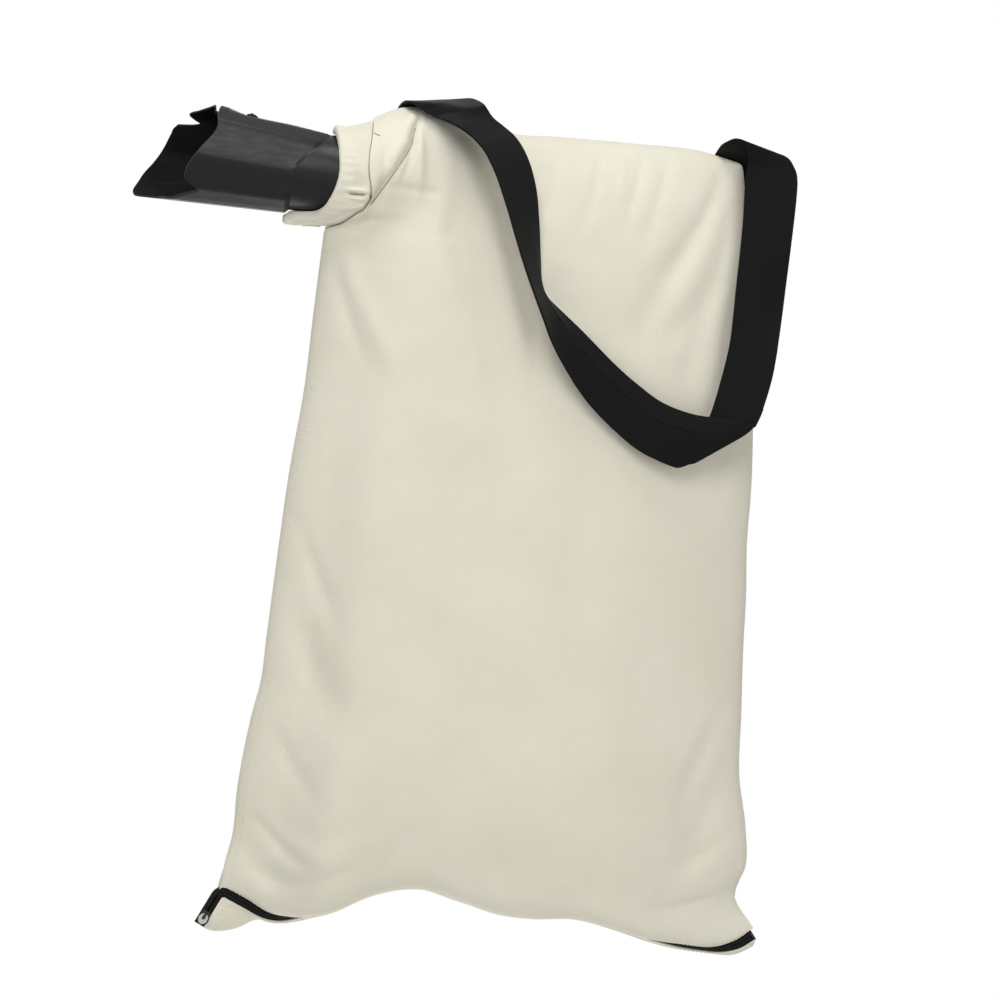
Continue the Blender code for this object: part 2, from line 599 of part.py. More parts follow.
def body(across, down, side):
    """A point of the panel's outer surface; side is -1 in front and +1 behind."""
    across, down = np.asarray(across, float), np.asarray(down, float)
    a, d = across[..., None], down[..., None]
    top = top_edge(across)
    top[..., 1] = side * SEAM_GAP
    top[..., 2] -= top_wave(across) * (1 - (1 - down) ** WAVE_FADE)
    right = right_edge(down)
    right[..., 1] = side * SEAM_GAP
    left = left_edge(down, side)
    bottom = roll_line(across, side)
    corners = [top_edge(np.zeros(1))[0], top_edge(np.ones(1))[0]]
    corners += [roll_line(np.zeros(1), side)[0], roll_line(np.ones(1), side)[0]]
    corners[0][1] = corners[1][1] = side * SEAM_GAP
    near_foot = smooth_step(d, FOOT_START, 1)
    left = left + near_foot * (corners[2] - left_edge(np.ones(1), side)[0])
    right = right + near_foot * (corners[3] - right_edge(np.ones(1))[0] - side * SEAM_GAP * DEPTH)
    round_neck = (left[..., 1] * side - SEAM_GAP) * (1 - smooth_step(across, 0, NECK_REACH))
    left[..., 1] = np.where(down < NECK_SHARE, side * SEAM_GAP, left[..., 1])
    flat = (1 - d) * top + d * bottom + (1 - a) * left + a * right
    flat = flat - (1 - a) * (1 - d) * corners[0] - a * (1 - d) * corners[1]
    flat = flat - (1 - a) * d * corners[2] - a * d * corners[3]
    crown = (np.clip(4 * across * (1 - across), 0, 1)) ** 0.55
    fall = np.clip(1 - (1 - np.clip(down / 0.30, 0, 1)) ** 2, 0, 1) ** 0.5
    foot = np.clip(1 - (1 - np.clip((1 - down) / 0.22, 0, 1)) ** 2, 0, 1) ** 0.5
    bulge = FRONT_BULGE if side < 0 else BACK_BULGE
    depth = bulge * crown * fall * foot
    if side < 0:
        keep = np.minimum(1, 12 * across * (1 - across))
        keep = keep * np.minimum(1, 10 * (1 - down) * np.minimum(down * 3, 1))
        depth = depth - fold_depth(across, down) * np.clip(keep, 0, 1)
    round_neck = np.where(down < NECK_SHARE, np.maximum(round_neck, 0), 0)
    flat[..., 1] += side * (np.maximum(depth, 0) ** 3 + round_neck**3) ** (1 / 3)
    return flat


def zip_line():
    """The zip's middle line: up the tail, round its corner, then along the bottom edge."""
    shares = [0.045, 0.08, 0.11, 0.14, 0.17, 0.20, 0.28, 0.37, 0.46, 0.56, 0.66, 0.74, 0.82, 0.88]
    shares = np.array(shares + [0.93, 0.97, 1.0])
    hidden = middle_share(shares)
    run = bottom_edge(shares)
    shown = np.cos(under_turn(shares))
    run[:, 2] += ZIP_BELOW * (hidden * (1 + shown) - shown)
    run[:, 1] = -CORNER_FORWARD * (1 - hidden)
    lean = np.array([math.cos(ZIP_TAIL_LEAN), 0, math.sin(ZIP_TAIL_LEAN)])
    corner = BOTTOM_LEFT + np.array([-0.0010, -CORNER_FORWARD, -0.0030])
    start = corner - ZIP_TAIL * lean
    onward = unit(run[0] - corner)
    turn = math.acos(float(np.clip(lean @ onward, -1, 1)))
    cut = ZIP_CORNER_RADIUS * math.tan(turn / 2)
    before, after = corner - cut * lean, corner + cut * onward
    bisector = unit(onward - lean)
    centre = corner + bisector * ZIP_CORNER_RADIUS / math.cos(turn / 2)
    arc = []
    for share in np.linspace(0, 1, 7):
        flat = before * (1 - share) + after * share
        arc.append(centre + unit(flat - centre) * ZIP_CORNER_RADIUS)
    straight = [start + (before - start) * share for share in (0, 0.25, 0.5, 0.75)]
    path = Path(straight + arc + list(run))
    path.bend = ZIP_TAIL - cut + ZIP_CORNER_RADIUS * turn * np.linspace(0, 1, 5)
    path.corner = path.bend[2]
    return path


def zip_frame(path, along):
    """Middle, direction across towards the front panel, and outward direction."""
    middle = path.at(along)
    ahead = path.direction(along)
    flat_across = unit(np.stack([-ahead[:, 2], np.zeros(len(along)), ahead[:, 0]], axis=-1))
    across = np.clip((middle[:, 0] - BOTTOM_LEFT[0]) / (BOTTOM_RIGHT[0] - BOTTOM_LEFT[0]), 0, 1)
    turn = under_turn(across)[:, None]
    towards = np.cos(turn) * flat_across - np.sin(turn) * DEPTH
    outward = -np.sin(turn) * flat_across - np.cos(turn) * DEPTH
    return middle, towards, outward


def zip_at(path, beside):
    """Lengths along the zip, past its corner, at places to the right."""
    past = path.along >= path.corner
    return np.interp(beside, path.line[past, 0], path.along[past])


def corner_stations(path):
    """Lengths along the zip's tail, its bend and on to the first shared column."""
    last = zip_at(path, bottom_edge(FLAP_SHARE)[0])
    onward = np.linspace(path.bend[-1], last, 5)[1:]
    return np.concatenate([[0, path.bend[0] / 2], path.bend, onward])


def travel_end():
    return SLIDER_POSITION + SLIDER_LENGTH / 2 + SLIDER_TRAVEL


def zip_stations(path):
    shared = zip_at(path, bottom_edge(BAG_COLUMNS)[:, 0])
    closing = travel_end() + np.array([0, 0.0015, 0.003])
    return np.unique(np.concatenate([corner_stations(path), shared, closing]).round(6))


def lane_half(along):
    """Half the gap between the coils: wide where the slider travels, then closed."""
    closing = smooth_step(along, travel_end(), travel_end() + 0.003)
    return (SLIDER_LANE * (1 - closing) + ZIP_LANE * closing) / 2


def strip(path, along, near, far, low, high):
    """Outer and inner grids of a flat strip beside the zip's middle line."""
    middle, towards, outward = zip_frame(path, along)
    near = np.broadcast_to(near, along.shape)[:, None]
    far = np.broadcast_to(far, along.shape)[:, None]
    flat = np.stack([middle + near * towards, middle + far * towards], axis=1)
    return flat + high * outward[:, None], flat + low * outward[:, None]


def make_zip(path, tape_look, coil_look):
    along = zip_stations(path)
    half = ZIP_TAPE_THICKNESS / 2
    for side, end in ((1, "front"), (-1, "back")):
        lane = lane_half(along)
        outer, inner = strip(path, along, side * lane, side * ZIP_TAPE_HALF, -half, half)
        sheet("zip_tape_" + end, outer, inner, tape_look)
        stop_end = STOP_LENGTH + 2 * CLEARANCE
        row = along[(along > stop_end + 0.0005) & (along < path.length - stop_end - 0.0005)]
        row = np.concatenate([[stop_end], row, [path.length - stop_end]])
        lane = lane_half(row)
        low, high = half + CLEARANCE, half + CLEARANCE + ZIP_COIL_HEIGHT
        outer, inner = strip(path, row, side * lane, side * (lane + ZIP_COIL_WIDTH), low, high)
        sheet("zip_coil_" + end, outer, inner, coil_look)


def make_stops(path, look):
    half = ZIP_TAPE_THICKNESS / 2
    low, high = half + CLEARANCE, half + CLEARANCE + STOP_HEIGHT
    for side, end in ((1, "front"), (-1, "back")):
        along = np.array([CLEARANCE, CLEARANCE + STOP_LENGTH])
        lane = SLIDER_LANE / 2
        outer, inner = strip(path, along, side * lane, side * (lane + STOP_WIDTH), low, high)
        sheet("zip_stop_" + end, outer, inner, look)
    along = path.length - np.array([CLEARANCE + STOP_LENGTH, CLEARANCE])
    outer, inner = strip(path, along, -STOP_WIDTH, STOP_WIDTH, low, high)
    sheet("zip_end_stop", outer, inner, look)


def slider_place(path):
    """Turns (along, across, out) from the slider's middle into the world."""
    middle, towards, outward = zip_frame(path, np.array([SLIDER_POSITION]))
    ahead = path.direction(np.array([SLIDER_POSITION]))[0]

    def place(along, across, out):
        return middle[0] + along * ahead + across * towards[0] + out * outward[0]

    return place


def slider_outline():
    """Shield shape of the slider's plates: wide where the rows part, narrow where they close."""
    half, length = SLIDER_WIDTH / 2, SLIDER_LENGTH / 2
    right = [(-length, half * 0.55), (-length * 0.75, half * 0.95), (-length * 0.2, half)]
    right += [(length * 0.55, half * 0.80), (length, half * 0.62)]
    return right + [(a, -b) for a, b in right[::-1]]


def slider_levels():
    """Heights of the slider's plates: the back plate's two faces, then the front plate's."""
    half = ZIP_TAPE_THICKNESS / 2
    under = -half - CLEARANCE
    over = half + CLEARANCE + ZIP_COIL_HEIGHT + CLEARANCE
    return under - SLIDER_PLATE, under, over, over + SLIDER_PLATE


def make_slider(path, look):
    place = slider_place(path)
    bottom, under, over, top = slider_levels()
    slider = prism("zip_slider", slider_outline(), over, top, place, look)
    under_plate = prism("under_plate", slider_outline(), bottom, under, place, look)
    post_length, post_half = SLIDER_POST_LENGTH / 2, SLIDER_POST_WIDTH / 2
    back = -SLIDER_LENGTH * 0.3
    post = [(back - post_length, -post_half * 0.4), (back, -post_half)]
    post.append((back + post_length, -post_half * 0.4))
    post += [(a, -b) for a, b in post[::-1]]
    core = prism("core", post, bottom + SLIDER_PLATE / 2, over + SLIDER_PLATE / 2, place, look)
    join(slider, core)
    join(slider, under_plate)
    ends = crown_ends()
    rise, foot = top + CROWN_HEIGHT, over + SLIDER_PLATE / 2
    arch = [
        (ends[0], foot), (ends[0], rise), (ends[1], rise), (ends[1], foot),
        (ends[1] - CROWN_STRAP, foot), (ends[1] - CROWN_STRAP, rise - CROWN_STRAP),
        (ends[0] + CROWN_STRAP, rise - CROWN_STRAP), (ends[0] + CROWN_STRAP, foot),
    ]
    half = CROWN_WIDTH / 2
    crown = prism("crown", arch, -half, half, lambda a, b, c: place(a, c, b), look)
    join(slider, crown)
    return slider


def crown_ends():
    """Where the crown's two feet stand along the slider."""
    middle = SLIDER_LENGTH * 0.12
    return middle - CROWN_LENGTH / 2, middle + CROWN_LENGTH / 2


def pull_axis():
    """Along and out from the slider's middle to the middle of the pull's bar."""
    top = slider_levels()[3]
    bar = crown_ends()[1] - CROWN_STRAP - CLEARANCE - PULL_BAR / 2
    return bar, top + CLEARANCE + PULL_BAR / 2


def make_pull(path, look):
    """An oval tab whose window goes round the crown; its bar lies under the crown."""
    place = slider_place(path)
    bar, out = pull_axis()
    half, window = PULL_WIDTH / 2, CROWN_WIDTH / 2 + CLEARANCE
    top_end = bar + PULL_BAR / 2
    bottom_end = top_end - PULL_LENGTH
    centre = (top_end + bottom_end) / 2
    outline = []
    for step in range(28):
        turn = 2 * math.pi * (step + 0.5) / 28
        outline.append((centre + math.cos(turn) * PULL_LENGTH / 2, math.sin(turn) * half))
    low = out - PULL_BAR / 2
    pull = prism("zip_pull", outline, low, low + PULL_THICKNESS, place, look)
    rise = slider_levels()[3] + CROWN_HEIGHT - out
    window_end = bar - math.hypot(bar - crown_ends()[0], rise) - CLEARANCE
    hole = [(bar - PULL_BAR / 2, -window), (bar - PULL_BAR / 2, window)]
    hole += [(window_end, window), (window_end, -window)]
    cutter = prism("window", hole, low - 0.001, low + PULL_THICKNESS + 0.001, place, look)
    modifier = pull.modifiers.new("window", "BOOLEAN")
    modifier.operation = "DIFFERENCE"
    modifier.solver = "EXACT"
    modifier.object = cutter
    bake(pull)
    bpy.data.objects.remove(cutter)
    return pull


def panel_columns(side, path):
    """Shares across a panel, and how far along the zip each of its columns meets it."""
    corner = corner_stations(path)
    if side < 0:
        corner = corner[corner >= path.corner]
        beside = path.at(corner)[:, 0]
        shares = FLAP_SHARE * (beside - beside[0]) / (beside[-1] - beside[0])
    else:
        shares = FLAP_SHARE * corner / corner[-1]
    shared = zip_at(path, bottom_edge(BAG_COLUMNS)[:, 0])
    return np.concatenate([shares, BAG_COLUMNS]), np.concatenate([corner, shared])


def panel_rows(count):
    neck = np.linspace(0, NECK_SHARE, NECK_ROWS + 1)[:-1]
    neck[1] *= 0.55
    rest = np.sin(np.linspace(0, math.pi / 2, count - NECK_ROWS)) ** 1.15
    return np.concatenate([neck, NECK_SHARE + (1 - NECK_SHARE) * rest])


def panel_grid(side, rows, path):
    """The panel's outer points: the body, then the strip that turns in to the zip."""
    across, span = panel_columns(side, path)
    a, d = np.meshgrid(across, panel_rows(rows))
    points = body(a, d, side)
    middle, towards, outward = zip_frame(path, span)
    lift = ZIP_TAPE_THICKNESS / 2 + ZIP_SEAM_GAP + CANVAS
    edge = middle - side * ZIP_SHOWN_HALF * towards + lift * outward
    gap = points[-1] - edge
    out = (gap * outward).sum(axis=1, keepdims=True)
    level = edge + 0.6 * (gap - out * outward) + 0.6 * np.maximum(out, 0) * outward
    return np.concatenate([points, level[None], edge[None]]), outward


def grid_normals(points, side):
    rows = np.gradient(points, axis=0)
    columns = np.gradient(points, axis=1)
    normal = unit(np.cross(rows, columns))
    middle = normal[points.shape[0] // 2, points.shape[1] // 2]
    return normal * (1 if middle[1] * side > 0 else -1)


def make_panel(name, side, rows, path, look):
    outer, zip_out = panel_grid(side, rows, path)
    normal = grid_normals(outer, side)
    ring = normal[:NECK_ROWS, 0]
    ring -= (ring @ NECK_AXIS)[:, None] * NECK_AXIS
    normal[0, :, 1] = 0
    normal[NECK_ROWS:rows, 0, 1] = 0
    normal[:rows, -1, 1] = 0
    normal = unit(normal)
    normal[-1] = zip_out
    normal[-2] = unit(normal[-2] + zip_out)
    return sheet(name, outer, outer - CANVAS * normal, look)


def seam_bead(name, line, inward, look):
    """A flat bead along the edge where the two panels meet."""
    loops = []
    for point, into in zip(line, inward):
        ring = []
        for depth, out in ((-SEAM_HALF, 0.0), (-SEAM_HALF, SEAM_DEPTH), (SEAM_HALF, SEAM_DEPTH),
                           (SEAM_HALF, 0.0), (SEAM_HALF / 2, -SEAM_PROUD), (-SEAM_HALF / 2, -SEAM_PROUD)):
            ring.append(point + depth * DEPTH + out * into)
        loops.append(ring)
    return tube(name, np.array(loops), look)


def make_seams(look):
    along = np.linspace(0.006, 0.985, 24)
    line = left_seam_line(along)
    seam_bead("left_side_seam", line, np.tile([1.0, 0, 0], (len(line), 1)), look)
    line = right_edge(np.linspace(0.008, 0.975, 24))
    seam_bead("right_side_seam", line, np.tile([-1.0, 0, 0], (len(line), 1)), look)
    line = top_edge(np.linspace(0.004, 0.985, 24))
    seam_bead("top_seam", line, np.tile([0, 0, -1.0], (len(line), 1)), look)


def depth_of(points, at, side):
    """The panel's depth behind or before places seen from the front, by its nearest points."""
    flat = points.reshape(-1, 3)
    apart = (flat[None, :, 0] - at[:, 0, None]) ** 2 + (flat[None, :, 2] - at[:, 2, None]) ** 2
    nearest = np.argsort(apart, axis=1)[:, :5]
    depths = flat[nearest, 1]
    return depths.max(axis=1) if side > 0 else depths.min(axis=1)


def strap_rows(route, share):
    """Middles and half spans of the strap's rows, on a smooth curve through the route."""
    controls = np.array(route, float)
    padded = np.concatenate([[2 * controls[0] - controls[1]], controls, [2 * controls[-1] - controls[-2]]])
    k = np.clip(share.astype(int), 0, len(controls) - 2)
    t = (share - k)[:, None]
    p, q, r, s = (padded[k + step] for step in range(4))
    rows = 0.5 * (2 * q + (r - p) * t + (2 * p - 5 * q + 4 * r - s) * t**2 + (3 * q - p - 3 * r + s) * t**3)
    start = top_edge(np.array([STRAP_START]))[0]
    base = start + rows[:, :1] * (TOP_RIGHT - start)
    level = np.zeros(len(share))
    middle = base + np.stack([rows[:, 1], level, rows[:, 2]], axis=1)
    span = np.stack([rows[:, 3], level, rows[:, 4]], axis=1) * STRAP_WIDTH / 2
    return middle, span


STRAP_SHARES = np.array([1.0, 0.45, 0.0, -0.5, -1.0])  # columns across the strap, A edge first


def strap_surface():
    """The strap's middle surface as rows of columns, from its left sewn end to its right one."""
    front = body(*np.meshgrid(np.linspace(0, 1, 60), np.linspace(0, 1, 80)), -1)
    back = body(*np.meshgrid(np.linspace(0, 1, 60), np.linspace(0, 1, 80)), 1)
    left_rows = [np.linspace(0, 3, 5)[:-1], np.linspace(3, 6, 13)[:-1], np.linspace(6, 19, 19)]
    left_rows = np.concatenate(left_rows)
    right_rows = np.linspace(0, 11, 22)
    left, left_span = strap_rows(STRAP_LEFT, left_rows)
    right, right_span = strap_rows(STRAP_RIGHT, right_rows)
    span = np.concatenate([left_span, right_span])
    turn_row = len(left)
    reach = np.linalg.norm(span, axis=1) / (STRAP_WIDTH / 2)
    tilt = np.sqrt(np.clip(1 - reach**2, 0, 1)) * STRAP_WIDTH / 2
    points = np.concatenate([left, right])[:, None] + STRAP_SHARES[None, :, None] * span[:, None]
    shape = points.shape
    flat = points.reshape(-1, 3)
    before = depth_of(front, flat, -1).reshape(shape[:2])
    behind = depth_of(back, flat, 1).reshape(shape[:2])
    rise = STRAP_THICKNESS / 2 + STRAP_LIFT
    need = (before - rise - tilt[:, None] * STRAP_SHARES).min(axis=1)
    need = running(running(need, np.min, 1), np.mean, 1)
    hung = need[:, None] + tilt[:, None] * STRAP_SHARES
    sewn = behind + STRAP_THICKNESS / 2 + STRAP_SEAT
    right_over = 1 - smooth_step(right_rows, 7.5, 8.8)
    over = np.concatenate([crest_crossing(points[:turn_row]), np.tile(right_over[:, None], (1, shape[1]))])
    depth = sewn * (1 - over) + hung * over
    depth[:turn_row] -= 2 * FOLD_RADIUS * smooth_step(left_rows, 13, 17)[:, None]
    points[..., 1] = depth
    return fold_over(points, turn_row)


def crest_crossing(points):
    """0 behind the bag and 1 in front; each column crosses while it is above the top edge."""
    share = (points[..., 0] - TOP_LEFT[0]) / (TOP_RIGHT[0] - TOP_LEFT[0])
    height = points[..., 2] - top_edge(np.clip(share, 0, 1))[..., 2]
    rows = np.arange(len(points))
    over = np.zeros(height.shape)
    for k in range(height.shape[1]):
        above = np.flatnonzero(height[:, k] > CREST_RISE)
        over[:, k] = smooth_step(rows, above[0], above[-1])
    return over


def running(values, pick, reach):
    padded = np.pad(values, reach, mode="edge")
    return np.array([pick(padded[k : k + 2 * reach + 1]) for k in range(len(values))])


def fold_over(points, turn_row):
    """Puts a round bend between the front layer and the layer behind it, along the slanted fold."""
    edge = points[turn_row - 1]
    line = unit(edge[0] - edge[-1])
    outward = unit(np.cross(DEPTH, line))
    outward = outward if outward[2] < 0 else -outward
    bend = []
    for degrees in (30, 65, 115, 150):
        turn = math.radians(degrees)
        shift = FOLD_RADIUS * (math.sin(turn) * outward + (1 - math.cos(turn)) * DEPTH)
        bend.append(edge + shift)
    return np.concatenate([points[:turn_row], np.array(bend), points[turn_row:]])


def make_strap(look):
    points = strap_surface()
    rows = np.gradient(points, axis=0)
    columns = np.gradient(points, axis=1)
    normal = unit(np.cross(rows, columns))
    half = STRAP_THICKNESS / 2
    return sheet("shoulder_strap", points + half * normal, points - half * normal, look)


def main():
    for old in list(bpy.data.objects):
        bpy.data.objects.remove(old)
    plastic = material("duct_plastic", DARK_PLASTIC, 0.38)
    canvas = material("canvas", CANVAS_COLOUR, 0.9)
    seam = material("seam_thread", SEAM_COLOUR, 0.9)
    tape = material("zip_tape", BLACK_TAPE, 0.8)
    coil = material("zip_coil", BLACK_TAPE, 0.45)
    metal = material("zip_metal", BLACK_TAPE, 0.4, 0.6)
    pale = material("zip_pull", PALE_METAL, 0.4, 0.5)
    webbing = material("webbing", BLACK_TAPE, 0.7)
    make_duct(plastic)
    make_hem(canvas)
    make_sleeve(canvas)
    path = zip_line()
    make_panel("front_panel", -1, FRONT_ROWS, path, canvas)
    make_panel("back_panel", 1, BACK_ROWS, path, canvas)
    make_seams(seam)
    make_zip(path, tape, coil)
    make_stops(path, metal)
    make_slider(path, metal)
    make_pull(path, pale)
    make_strap(webbing)


main()
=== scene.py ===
"""The looks of a canvas collection bag of a leaf blower and vacuum."""

import math

import bmesh
import bpy
import numpy as np
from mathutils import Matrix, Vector, noise
from mathutils.bvhtree import BVHTree


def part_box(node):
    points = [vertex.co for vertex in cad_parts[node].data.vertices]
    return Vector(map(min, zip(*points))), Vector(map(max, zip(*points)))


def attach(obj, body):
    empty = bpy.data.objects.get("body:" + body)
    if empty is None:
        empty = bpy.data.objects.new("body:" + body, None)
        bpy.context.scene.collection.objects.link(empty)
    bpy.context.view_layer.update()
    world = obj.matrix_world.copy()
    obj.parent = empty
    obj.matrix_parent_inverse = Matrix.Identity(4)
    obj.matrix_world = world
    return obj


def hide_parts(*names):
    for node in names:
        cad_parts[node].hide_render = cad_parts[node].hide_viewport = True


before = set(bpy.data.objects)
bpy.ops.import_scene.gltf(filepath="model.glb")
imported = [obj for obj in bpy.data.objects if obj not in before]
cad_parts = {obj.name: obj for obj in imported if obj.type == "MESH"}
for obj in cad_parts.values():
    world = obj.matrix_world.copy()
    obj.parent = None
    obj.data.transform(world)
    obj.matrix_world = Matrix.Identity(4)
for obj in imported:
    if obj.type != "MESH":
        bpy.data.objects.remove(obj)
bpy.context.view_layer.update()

# The shape's own values, as in the part's source, in metres

CLEARANCE = 0.0003  # between pieces that touch
# Inlet duct: a tapered, faceted moulding with an oblique mouth and a round spigot
DUCT_TILT = math.radians(10.8)
DUCT_LENGTH = 0.150
DUCT_HALF_HEIGHT = 0.0395
DUCT_HALF_WIDTH = 0.0385
DUCT_TAPER = 0.0726  # half height lost along each metre
DUCT_WALL = 0.0025
SPIGOT_RADIUS = 0.031
SHOULDER_START = 0.0945
SHOULDER_RAKE = 0.7
SHOULDER_LENGTH = 0.004
BEAD_HEIGHT = 0.0016
BEAD_LENGTH = 0.004
CORNER_ROUNDING = 0.14
DUCT_TOP = 0.0325  # of the flat top behind the lip
LIP_END = 0.0400
LIP_RAMP = 0.0055
# Corners of the upper near side of the section, as shares of its half width and half height
DUCT_SECTION = [(0.35, 1.0), (0.80, 0.69), (1.0, -0.10), (0.82, -0.74), (0.40, -1.04)]
# The mouth's edge: degrees round from the top towards the front, and metres along the axis
MOUTH_EDGE = [
    (0, 0.040), (14, 0.0335), (50, 0.032), (72, 0.0335), (95, 0.025), (118, 0.017), (135, 0.023),
    (160, 0.006), (200, -0.010), (222, -0.020), (240, -0.022), (262, -0.012), (288, 0.0),
    (295, 0.017), (303, 0.018), (311, 0.0095), (341, 0.026), (352, 0.027), (360, 0.040),
]
CATCH_START = 0.055
CATCH_LENGTH = 0.010
CATCH_HEIGHT = 0.0034
CATCH_WIDTH = 0.016
# Neck: a gathered hem round the duct and a sleeve that widens to the bag
# The hem's middle: degrees round from the top, on both sides alike, and metres along the duct
HEM_LINE = [
    (0, 0.1234), (30, 0.1275), (60, 0.1320), (90, 0.1352), (120, 0.1318), (140, 0.1268),
    (155, 0.1195), (168, 0.1060), (175, 0.0995), (180, 0.0982),
]
HEM_RADIUS = 0.0038
SLEEVE_PLEATS = 9
SLEEVE_PLEAT_DEPTH = 0.0010
NECK_RADIUS = 0.0458
NECK_BELLY = 0.011  # how far the neck's seam bows towards the bag in front and behind
NECK_CENTRE_X = 0.1365
NECK_CENTRE_Z = -0.0210
NECK_TILT = math.radians(24.04)
# Bag body, seen from the front
BAG_TOP_WIDTH = 0.2797
BAG_TOP_DROP = 0.0357  # how much lower the right end of the top edge lies
BAG_HEIGHT = 0.5834  # along the left edge, from the neck's top to the zip
BAG_LEFT_SPREAD = 0.1156  # how far the lower left corner lies left of the neck's top
BAG_RIGHT_SPREAD = 0.0083
BAG_BOTTOM_DROP = 0.0320
FRONT_BULGE = 0.046
BACK_BULGE = 0.042
CANVAS = 0.0010
NECK_SHARE = 0.17  # part of the left edge that runs round the neck
NECK_REACH = 0.34  # share across the bag where the neck's roundness has gone
WAVE_FADE = 4  # how fast the top edge's wave dies away down the bag
# Waves of the edges: share of the edge, then metres away from the straight line
TOP_WAVE = [(0, 0), (0.07, 0.0095), (0.18, 0.0120), (0.27, 0.0100), (0.37, 0.0015), (0.50, 0.0029),
            (0.72, 0.0053), (0.89, 0.0058), (1, 0)]
LEFT_WAVE = [(0, 0), (0.12, 0.0016), (0.25, 0.0037), (0.36, 0.0023), (0.51, 0.0033), (0.62, 0.0046),
             (0.69, 0.0054), (0.74, 0.0026), (0.85, 0.0004), (0.93, 0.0020), (0.97, -0.0008), (1, 0)]
RIGHT_WAVE = [(0, 0), (0.15, 0.0048), (0.34, 0.0048), (0.42, 0.0030), (0.50, -0.0012), (0.56, -0.0022),
              (0.64, -0.0052), (0.72, -0.0072), (0.80, -0.0094), (0.87, -0.0052), (0.92, -0.0058),
              (0.955, -0.0140), (1, 0)]
BOTTOM_WAVE = [(0, 0), (0.05, -0.0080), (0.09, -0.0160), (0.13, -0.0188), (0.18, -0.0158),
               (0.21, -0.0125), (0.28, 0.0022), (0.34, 0.0090), (0.39, 0.0100), (0.45, 0.0032),
               (0.52, -0.0042), (0.58, -0.0054), (0.665, -0.0033), (0.715, -0.0062), (0.775, -0.0119),
               (0.85, -0.0157), (0.91, -0.0152), (0.955, -0.0115), (1, 0)]
ROLL_DEPTH = 0.028  # how far the bag's lowest fold lies in front of and behind the zip
# Folds of the front: start and end as shares across and down, half width, depth inwards
FRONT_FOLDS = [
    (0.28, 0.06, 0.50, 0.42, 0.018, 0.0075),
    (0.86, 0.10, 0.74, 0.24, 0.014, 0.0040),
    (0.90, 0.17, 0.80, 0.25, 0.010, 0.0030),
    (0.02, 0.62, 0.17, 0.76, 0.015, 0.0045),
    (0.02, 0.955, 0.19, 0.985, 0.010, 0.0060),
    (0.06, 0.925, 0.24, 0.945, 0.014, -0.0060),
    (0.97, 0.78, 0.86, 0.91, 0.013, 0.0050),
    (0.97, 0.955, 0.93, 0.985, 0.008, 0.0050),
    (0.44, 0.955, 0.52, 0.985, 0.012, 0.0045),
]
# Side and top seams: a flat stitched bead between the two panels
SEAM_HALF = 0.0010
SEAM_DEPTH = 0.0035
SEAM_PROUD = 0.0006
# Zip
ZIP_TAPE_HALF = 0.0046  # from the zip's middle to the edge of one tape
ZIP_SHOWN_HALF = 0.0038
ZIP_BELOW = 0.0048  # from the bag's bottom edge down to the zip's middle at both corners
ZIP_HEM = 0.0024  # how far the back panel reaches past the tape before it turns in
ZIP_TAPE_THICKNESS = 0.0006
ZIP_SEAM_GAP = 0.0005  # between the tapes and the panels sewn over them
ZIP_COIL_WIDTH = 0.0019
ZIP_COIL_HEIGHT = 0.0012
ZIP_LANE = 0.0004  # between the two coils where they are closed
SLIDER_LANE = 0.0018  # between the two coils where the slider travels
SLIDER_TRAVEL = 0.012
ZIP_CORNER_RADIUS = 0.0060
ZIP_TAIL = 0.0310  # from the zip's lower end to its corner
CORNER_FORWARD = 0.0025  # how far the zip's ends lie before the side seams
ZIP_TAIL_LEAN = math.radians(58.7)
ZIP_UNDER_TURN = math.radians(60)  # how far the zip turns to face the ground under the bag
SLIDER_POSITION = 0.0070  # from the tape's end to the slider's middle
SLIDER_LENGTH = 0.0100
SLIDER_PLATE = 0.0010
STOP_LENGTH = 0.0014
# Flap of the back panel that shows below the zip at both ends
LEFT_FLAP_DROP = 0.0222
LEFT_FLAP_REACH = 0.0100  # how far the flap's tip lies left of the zip's corner
RIGHT_FLAP_DROP = 0.0025
FLAP_DEPTH = 0.0045
FLAP_SHARE = 0.10  # share of the bag's width where the zip goes round its left corner
# Shoulder strap
STRAP_WIDTH = 0.038
STRAP_THICKNESS = 0.0016
STRAP_LIFT = 0.0050  # between the bag and the strap that hangs before it
STRAP_SEAT = 0.0014  # between the back panel and the strap's sewn ends
CREST_RISE = 0.0022  # height above the bag's top edge from which the strap may cross it
STRAP_START = 0.32  # share of the top edge that the strap's left run is measured from
FOLD_RADIUS = 0.0015  # of the strap's slanted fold
# The strap's way: share from the left run to the right corner, metres across and up from
# there to the strap's middle, and the direction of its width, seen from the front, in half widths
STRAP_LEFT = [
    (0, -0.0600, -0.0745, 1.00, 0.00), (0, -0.0600, -0.0450, 1.00, 0.02),
    (0, -0.0597, -0.0180, 1.00, 0.02), (0, -0.0545, 0.0080, 1.06, 0.04),
    (0, -0.0430, 0.0190, 1.18, 0.06), (0, -0.0277, 0.0120, 1.06, 0.22),
    (0, -0.0129, 0.0011, 0.72, 0.18), (0, 0.0000, -0.0095, 0.64, 0.22),
    (0, 0.0114, -0.0247, 0.64, 0.30), (0, 0.0228, -0.0593, 0.56, 0.40),
    (0.05, 0.0204, -0.0969, 0.38, 0.26), (0.10, 0.0188, -0.1261, 0.20, 0.36),
    (0.15, 0.0157, -0.1382, 0.18, 0.60), (0.20, 0.0160, -0.1537, 0.22, 0.86),
    (0.40, 0.0047, -0.1836, 0.36, 0.96), (0.65, -0.0128, -0.2036, 0.52, 0.90),
    (0.80, -0.0248, -0.2092, 0.68, 0.88), (0.90, -0.0283, -0.2117, 0.94, 0.86),
    (1, -0.0327, -0.2117, 1.24, 0.90), (1, -0.0201, -0.2151, 1.50, 0.84),
]
